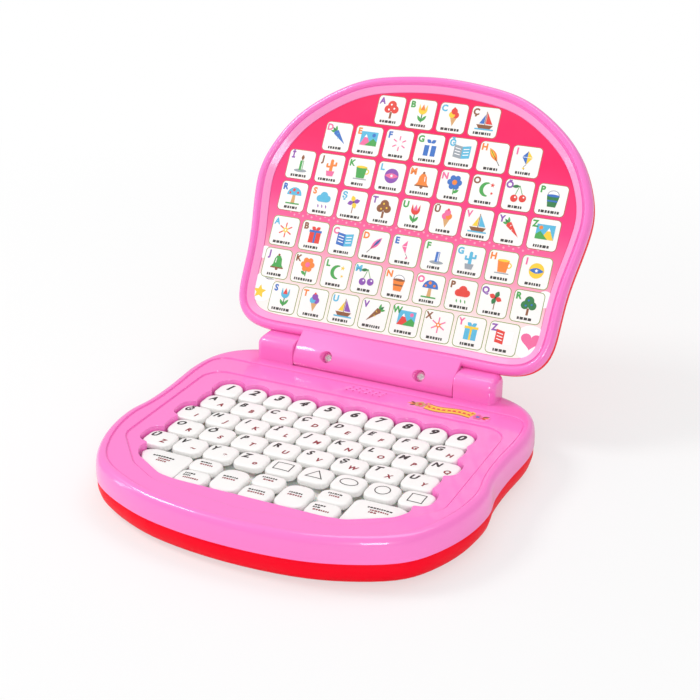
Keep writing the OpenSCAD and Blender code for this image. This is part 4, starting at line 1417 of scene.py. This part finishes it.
def base_top_mesh():
    bm = bmesh.new()
    crease, key_field = evened(deck_loops[0], 3.0), evened(deck_loops[1], 3.0)
    sound_holes = [loop[::3] for loop in deck_loops[2:]]
    opening = softened(evened(field_loops[1], 1.0), 8)
    inner = [(5.2, UNDERSIDE), (3.4, 22.8), (2.4, 20.5), (WALL, SEAM)]
    lip = [(0.5, SEAM), (0.2, SEAM + 0.06), (0.05, SEAM + 0.25)]
    skirt = eased([(0.0, SEAM + 0.6), (0.02, 17), (0.1, 20), (0.6, 23.8), (1.4, 25.7),
                   (2.7, 27.0), (4.2, 27.5), (5.0, RIM)], 4)
    inner_start, rim_edge = sweep(bm, base_outline, inner + lip + skirt + [(5.2, RIM)])
    crease_high, crease_low = sweep(bm, crease, step_down(RIM, DECK))
    field_high, field_low = sweep(bm, key_field, step_down(DECK, FIELD))
    edge = [(-0.5, FIELD), (-0.35, FIELD), (-0.12, FIELD - 0.08), (0, FIELD - 0.35),
            (0, 22), (0, OPENING_FOOT), (-0.8, OPENING_FOOT), (-0.8, UNDERSIDE)]
    opening_high, opening_low = sweep(bm, opening, edge)
    hole_rings = [sweep(bm, hole, [(-0.12, DECK), (-0.03, DECK - 0.05), (0, DECK - 0.2),
                                   (0, UNDERSIDE)]) for hole in sound_holes]
    flat_fill(bm, rim_edge, [crease_high])
    flat_fill(bm, crease_low, [field_high] + [high for high, low in hole_rings])
    flat_fill(bm, field_low, [opening_high])
    flat_fill(bm, inner_start, [opening_low] + [low for high, low in hole_rings], False)
    return bm


# %% [markdown]
# ## Hinge trough and posts
# Behind the deck the lid's barrel turns in a round trough between two upright posts. The
# trough is cut with a Boolean modifier, which is the natural way where a cylinder crosses a
# rounded rim. The posts are lofted along the hinge line with soft ends.

# %% Lengthwise lofts
def lengthwise(bm, section, stations):
    """A loft of a closed section along x; each station is (x, how far it is drawn in)."""
    rings = [[bm.verts.new((x, p.x, p.y)) for p in inset(section, drawn)] for x, drawn in stations]
    walls(bm, rings)
    middle = sum(section, Vector((0, 0))) / len(section)
    cap(bm, rings[-1], (stations[-1][0], middle.x, middle.y))
    cap(bm, rings[0], (stations[0][0], middle.x, middle.y), upwards=False)


def arc(centre, radius, start, end, steps=24):
    return [Vector(around(*centre, radius, math.radians(start + (end - start) * i / steps)))
            for i in range(steps + 1)]


BARREL_RADIUS = 9.5
BARREL_HALF = 51.7
BARREL_END = [(-BARREL_HALF, 0.4), (-BARREL_HALF + 0.15, 0.12), (-BARREL_HALF + 0.45, 0)]
BARREL_STATIONS = BARREL_END + [(-x, drawn) for x, drawn in reversed(BARREL_END)]
TROUGH_RADIUS = 10.1
TROUGH_HALF = 52.1
POST_LENGTH = 25
POST_END_RADIUS = 4.5
axis = (HINGE.y, HINGE.z)


def add_posts(bm):
    low, high = 20.0, HINGE.z + BARREL_RADIUS
    section = rounded(rectangle(HINGE.y, (low + high) / 2, 2 * BARREL_RADIUS, high - low),
                      [4.7, 4.7, 5.2, 5.2], 8)
    start, end = TROUGH_HALF, TROUGH_HALF + POST_LENGTH
    stations = [(start, 0.6), (start + 0.15, 0.25), (start + 0.4, 0.06), (start + 0.8, 0)]
    stations += [(end - POST_END_RADIUS * (1 - math.sin(math.radians(a))),
                  POST_END_RADIUS * (1 - math.cos(math.radians(a)))) for a in range(0, 91, 10)]
    lengthwise(bm, section, stations)
    lengthwise(bm, section, [(-x, drawn) for x, drawn in reversed(stations)])


def add_trough_floor(bm):
    section = arc(axis, TROUGH_RADIUS + WALL, 212, 328)
    section += arc(axis, TROUGH_RADIUS + 0.04, 328, 212)
    rings = [[bm.verts.new((x, p.x, p.y)) for p in section] for x in (-TROUGH_HALF, TROUGH_HALF)]
    walls(bm, rings)
    count = len(section) // 2
    for ring, step in ((rings[0], -1), (rings[1], 1)):
        for i in range(count - 1):
            quad = (ring[i], ring[i + 1], ring[-i - 2], ring[-i - 1])
            bm.faces.new(quad[::step])


def cut(piece, tool):
    """Takes one closed piece out of another and removes the tool."""
    modifier = piece.modifiers.new("cut", "BOOLEAN")
    modifier.operation, modifier.solver, modifier.object = "DIFFERENCE", "MANIFOLD", tool
    result = bpy.data.meshes.new_from_object(piece.evaluated_get(
        bpy.context.evaluated_depsgraph_get()))
    piece.modifiers.remove(modifier)
    piece.data = result
    bpy.data.objects.remove(tool)


def add_islands(piece, bm):
    """Adds closed bodies, made in millimetres, to a finished piece."""
    bmesh.ops.scale(bm, vec=(MM, MM, MM), verts=bm.verts)
    bm.from_mesh(piece.data)
    bm.to_mesh(piece.data)
    bm.free()
    piece.data.shade_smooth()
    piece.data.set_sharp_from_angle(angle=math.radians(40))


# %% The base's upper shell
def loose_edges(mesh):
    bm = bmesh.new()
    bm.from_mesh(mesh)
    count = sum(len(e.link_faces) != 2 for e in bm.edges)
    bm.free()
    return count


base_top = piece_from("base_top_moulding", base_top_mesh(), [pink_plastic])
print("open edges before the cut", loose_edges(base_top.data))
trough = bmesh.new()
lengthwise(trough, arc(axis, TROUGH_RADIUS, 0, 355, 71), [(-TROUGH_HALF, 0), (TROUGH_HALF, 0)])
cut(base_top, piece_from("trough_tool", trough, []))
islands = bmesh.new()
add_posts(islands)
add_trough_floor(islands)
add_islands(base_top, islands)
belongs(base_top, "base", "pink_shell", "base_top_shell")
print("base top faces", len(base_top.data.polygons), "open edges", loose_edges(base_top.data))

# %% [markdown]
# ## The lid's front shell
# A raised ring runs round the lid, then a groove, then a band that slopes down to the card.
# At the foot the ring grows out of the hinge barrel. The ring is one sweep of a soft profile,
# and the barrel is a loft with the two screw wells cut into it. The band's faces that slope
# inwards have a second, paler pink finish, a painted highlight for the light the slope catches.

# %% Lid front
LID_SEAM = -1.7
CARD_SEAT = -0.9
SCREW_X = 30.15
SCREW_SEAT = 4.0
WELL_RADIUS = 3.5
BARREL_FOOT = math.degrees(math.asin(LID_SEAM / BARREL_RADIUS))
LID_MIDDLE = 95


def lid_front_mesh():
    bm = bmesh.new()
    start = [(3.6, -2.7), (3.4, -2.7), (3.4, LID_SEAM), (0.6, LID_SEAM), (0.15, LID_SEAM + 0.2)]
    ring = eased([(0, -1.2), (0, 0.4), (0.6, 2.2), (1.7, 3.4), (3.1, 3.8), (4.3, 3.4),
                  (5.0, 2.3)], 4)
    groove = [(5.1, 1.9), (5.7, 1.9), (5.8, 2.3)]
    band = eased([(6.1, 2.4), (7.5, 1.5), (9.0, 0.5), (9.7, 0.05), (9.95, -0.25)], 3)
    profile = start + ring + groove + band + [(9.95, CARD_SEAT)]
    under, floor = sweep(bm, lid_outline, profile)
    flat_fill(bm, floor, upwards=True)
    flat_fill(bm, under, upwards=False)
    # Band faces that slope in towards the card take the paler pink, a painted highlight.
    bm.normal_update()
    for face in bm.faces:
        spot = face.calc_center_median()
        inwards = face.normal.x * spot.x + face.normal.y * (spot.y - LID_MIDDLE) < 0
        if -0.2 < spot.z < 2.42 and 0.4 < face.normal.z < 0.97 and inwards:
            face.material_index = 1
    return bm


def barrel_mesh():
    """The front half of the barrel, tangent to the ring's top."""
    bm = bmesh.new()
    section = arc((0, 0), BARREL_RADIUS, 64, 180 - BARREL_FOOT, 30)
    section += [Vector((13.9, LID_SEAM)), Vector((13.9, 3.8))]
    lengthwise(bm, section, BARREL_STATIONS)
    return bm


def well_tool(x):
    """A round well with a flared mouth, as a closed lathed body along n."""
    bm = bmesh.new()
    lathe(bm, x, 0, [(WELL_RADIUS - 0.2, SCREW_SEAT), (WELL_RADIUS, SCREW_SEAT + 0.4),
                     (WELL_RADIUS, 8.5), (WELL_RADIUS + 0.25, 9.0), (WELL_RADIUS + 0.9, 9.7),
                     (WELL_RADIUS + 0.9, 12)], 40)
    return piece_from("well_tool", bm, [])


lid_front = piece_from("lid_front_moulding", lid_front_mesh(), [pink_plastic, band_painted_highlight])
barrel = piece_from("barrel_tool", barrel_mesh(), [pink_plastic])
for x in (-SCREW_X, SCREW_X):
    cut(barrel, well_tool(x))
islands = bmesh.new()
islands.from_mesh(barrel.data)
bmesh.ops.scale(islands, vec=(1 / MM, 1 / MM, 1 / MM), verts=islands.verts)
bpy.data.objects.remove(barrel)
add_islands(lid_front, islands)
place_on_lid(lid_front)
belongs(lid_front, "lid", "pink_shell", "lid_front_shell")
print("lid front faces", len(lid_front.data.polygons), "open edges", loose_edges(lid_front.data))

# %% [markdown]
# ## The lid's back and the card
# The red back shell closes the lid from behind and carries the rear half of the barrel. Only
# its edge shows beside the ring, so its walls are plain inside. The card is a thin plate with a
# softened edge. Both are sweeps round the lid's outline.

# %% The lid's back and the card
def lid_back_mesh():
    bm = bmesh.new()
    back = eased([(7.6, -12.15), (4.2, -11.2), (1.7, -9.2), (0.5, -6.6), (0.1, -4),
                  (0.02, LID_SEAM - 0.35)], 4)
    inner = [(0.2, LID_SEAM - 0.1), (3.2, LID_SEAM - 0.1), (3.6, -6), (5.2, -9), (9, -10)]
    flat_back, flat_inside = sweep(bm, lid_outline, [(8.4, -12.2)] + back + inner)
    flat_fill(bm, flat_back, upwards=False)
    flat_fill(bm, flat_inside, upwards=True)
    section = arc((0, 0), BARREL_RADIUS, 180 - BARREL_FOOT, 260.6, 20)
    section += [Vector((14, -12.0)), Vector((14, LID_SEAM))]
    lengthwise(bm, section, BARREL_STATIONS)
    return bm


def card_mesh():
    bm = bmesh.new()
    under, face = sweep(bm, lid_outline, [(10.2, CARD_SEAT), (10.2, CARD_FACE - 0.08),
                                          (10.28, CARD_FACE)])
    flat_fill(bm, under, upwards=False)
    flat_fill(bm, face, upwards=True)
    return bm


for name, node, bm, material, slot in (
        ("lid_back_moulding", "lid_back_shell", lid_back_mesh(), red_plastic, "red_shell"),
        ("printed_card", "picture_card", card_mesh(), card_print, "card")):
    piece = piece_from(name, bm, [material])
    place_on_lid(piece)
    belongs(piece, "lid", slot, node)
    print(name, "faces", len(piece.data.polygons), "open edges", loose_edges(piece.data))

# %% [markdown]
# ## The red lower shell
# The lower shell and the battery door have many ribs, bosses and seats, all of them right in
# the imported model. So each is a merged copy of its node: its doubles are joined, curved areas are
# shaded smooth, edges past a set angle stay sharp, and a Weighted Normal modifier lets the big
# flat faces keep an even shade.

# %% Smoothed copies
def smoothed_copy(node, name):
    bm = bmesh.new()
    bm.from_mesh(frame["nodes"][node].data)
    bmesh.ops.remove_doubles(bm, verts=bm.verts, dist=2e-6)
    bmesh.ops.dissolve_limit(bm, angle_limit=math.radians(0.4), verts=bm.verts, edges=bm.edges)
    bmesh.ops.triangulate(bm, faces=bm.faces)
    bmesh.ops.scale(bm, vec=(1 / MM, 1 / MM, 1 / MM), verts=bm.verts)
    piece = piece_from(name, bm, [red_plastic], 32)
    weighting = piece.modifiers.new("weighting", "WEIGHTED_NORMAL")
    weighting.keep_sharp = True
    piece.data = bpy.data.meshes.new_from_object(piece.evaluated_get(
        bpy.context.evaluated_depsgraph_get()))
    piece.modifiers.clear()
    belongs(piece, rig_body(node), "red_shell", node)


smoothed_copy("base_bottom_shell", "base_bottom_moulding")
smoothed_copy("battery_door", "battery_door_moulding")

# %% [markdown]
# ## Screws
# The pan heads have a pressed cross. A head is a small polar grid whose height follows the
# dome and drops inside the cross; the shank is lathed, with a thread of shallow rings. One
# node tree puts a screw on every screw place.

# %% Screw shape
HEAD_RINGS = (1.0, 0.97, 0.9, 0.8, 0.7, 0.6, 0.5, 0.42, 0.34, 0.26, 0.18, 0.1)


def screw_shape(head_radius, head_height, shank_radius, length, facing=1, sides=48):
    bm = bmesh.new()
    rings = []
    for share in HEAD_RINGS:
        ring = []
        for i in range(sides):
            x, y = around(0, 0, share, math.tau * i / sides)
            in_cross = min(abs(x), abs(y)) < 0.13 and max(abs(x), abs(y)) < 0.62
            z = head_height * (1 - 0.45 * share ** 4 - (0.45 if in_cross else 0))
            ring.append(bm.verts.new((x * head_radius, y * head_radius, z)))
        rings.append(ring)
    shank = [(head_radius, 0.0), (shank_radius, 0.0)]
    turns = max(2, int(length / 1.2))
    for k in range(turns):
        z = -length * (k + 0.5) / turns
        shank += [(shank_radius * 0.82, z + 0.25), (shank_radius, z), (shank_radius * 0.82, z - 0.25)]
    shank.append((shank_radius * 0.3, -length))
    lower = [[bm.verts.new((*spot, z)) for spot in circle(0, 0, r, sides)]
             for r, z in reversed(shank)]
    walls(bm, lower + rings)
    cap(bm, rings[-1], (0, 0, head_height * 0.55))
    cap(bm, lower[0], (0, 0, -length), upwards=False)
    bmesh.ops.rotate(bm, matrix=Matrix.Rotation(0 if facing > 0 else math.pi, 3, "X"),
                     verts=bm.verts)
    return piece_from("screw_shape", bm, [steel], 35)


def screw_tree():
    tree, given, result = start_tree("screws", [("Screw", "NodeSocketObject"),
                                                ("Material", "NodeSocketMaterial")])
    source = tree.nodes.new("GeometryNodeObjectInfo")
    tree.links.new(given.outputs["Screw"], source.inputs["Object"])
    end_tree(tree, given, result, source.outputs["Geometry"])
    return tree


screws_on_points = screw_tree()


def set_screws(node, points, shape, on_lid=False):
    piece = grow(node + "_set", screws_on_points, points, Screw=shape, Material=steel)
    if on_lid:
        place_on_lid(piece)
    bpy.data.objects.remove(shape)
    belongs(piece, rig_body(node), "steel", node)


set_screws("lid_screws", [(-SCREW_X, 0, SCREW_SEAT), (SCREW_X, 0, SCREW_SEAT)],
           screw_shape(2.7, 1.7, 1.25, 9), on_lid=True)
CASE_SCREW_SEAT = 3.6
CASE_SCREWS = [(side * x, y, CASE_SCREW_SEAT) for side in (-1, 1)
               for x, y in ((83.6, 64), (50, 66), (72.6, -71.5), (45.1, -84.5))]
set_screws("case_screws", CASE_SCREWS, screw_shape(2.7, 1.6, 1.3, 10, facing=-1))

# %% [markdown]
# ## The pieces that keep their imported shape
# The rubber sheet, the board, the speaker, the cells and the pins have the right shape
# already. They only get a better finish in their material slots.

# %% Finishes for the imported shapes
FINISHES = {
    "keypad_mat": silicone, "circuit_board": board_laminate, "sound_chip": chip_resin,
    "board_screws": steel, "door_screw": steel, "speaker_frame": speaker_metal,
    "speaker_cone": speaker_paper, "batteries": battery_jacket,
    "battery_springs": spring_wire, "battery_plates": spring_wire,
    "deck_sticker": sticker_film,
    "hinge_pin_left": steel, "hinge_pin_right": steel,
}
for node, material in FINISHES.items():
    slots = frame["nodes"][node].data.materials
    for i in range(len(slots)):
        slots[i] = material
print("finishes set on", len(FINISHES), "nodes")

# %% Finish
size = {"cad": [list(v) for v in cad_box], "visual": [list(v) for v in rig.bounds()]}
json.dump(size, open("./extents.json", "w"))
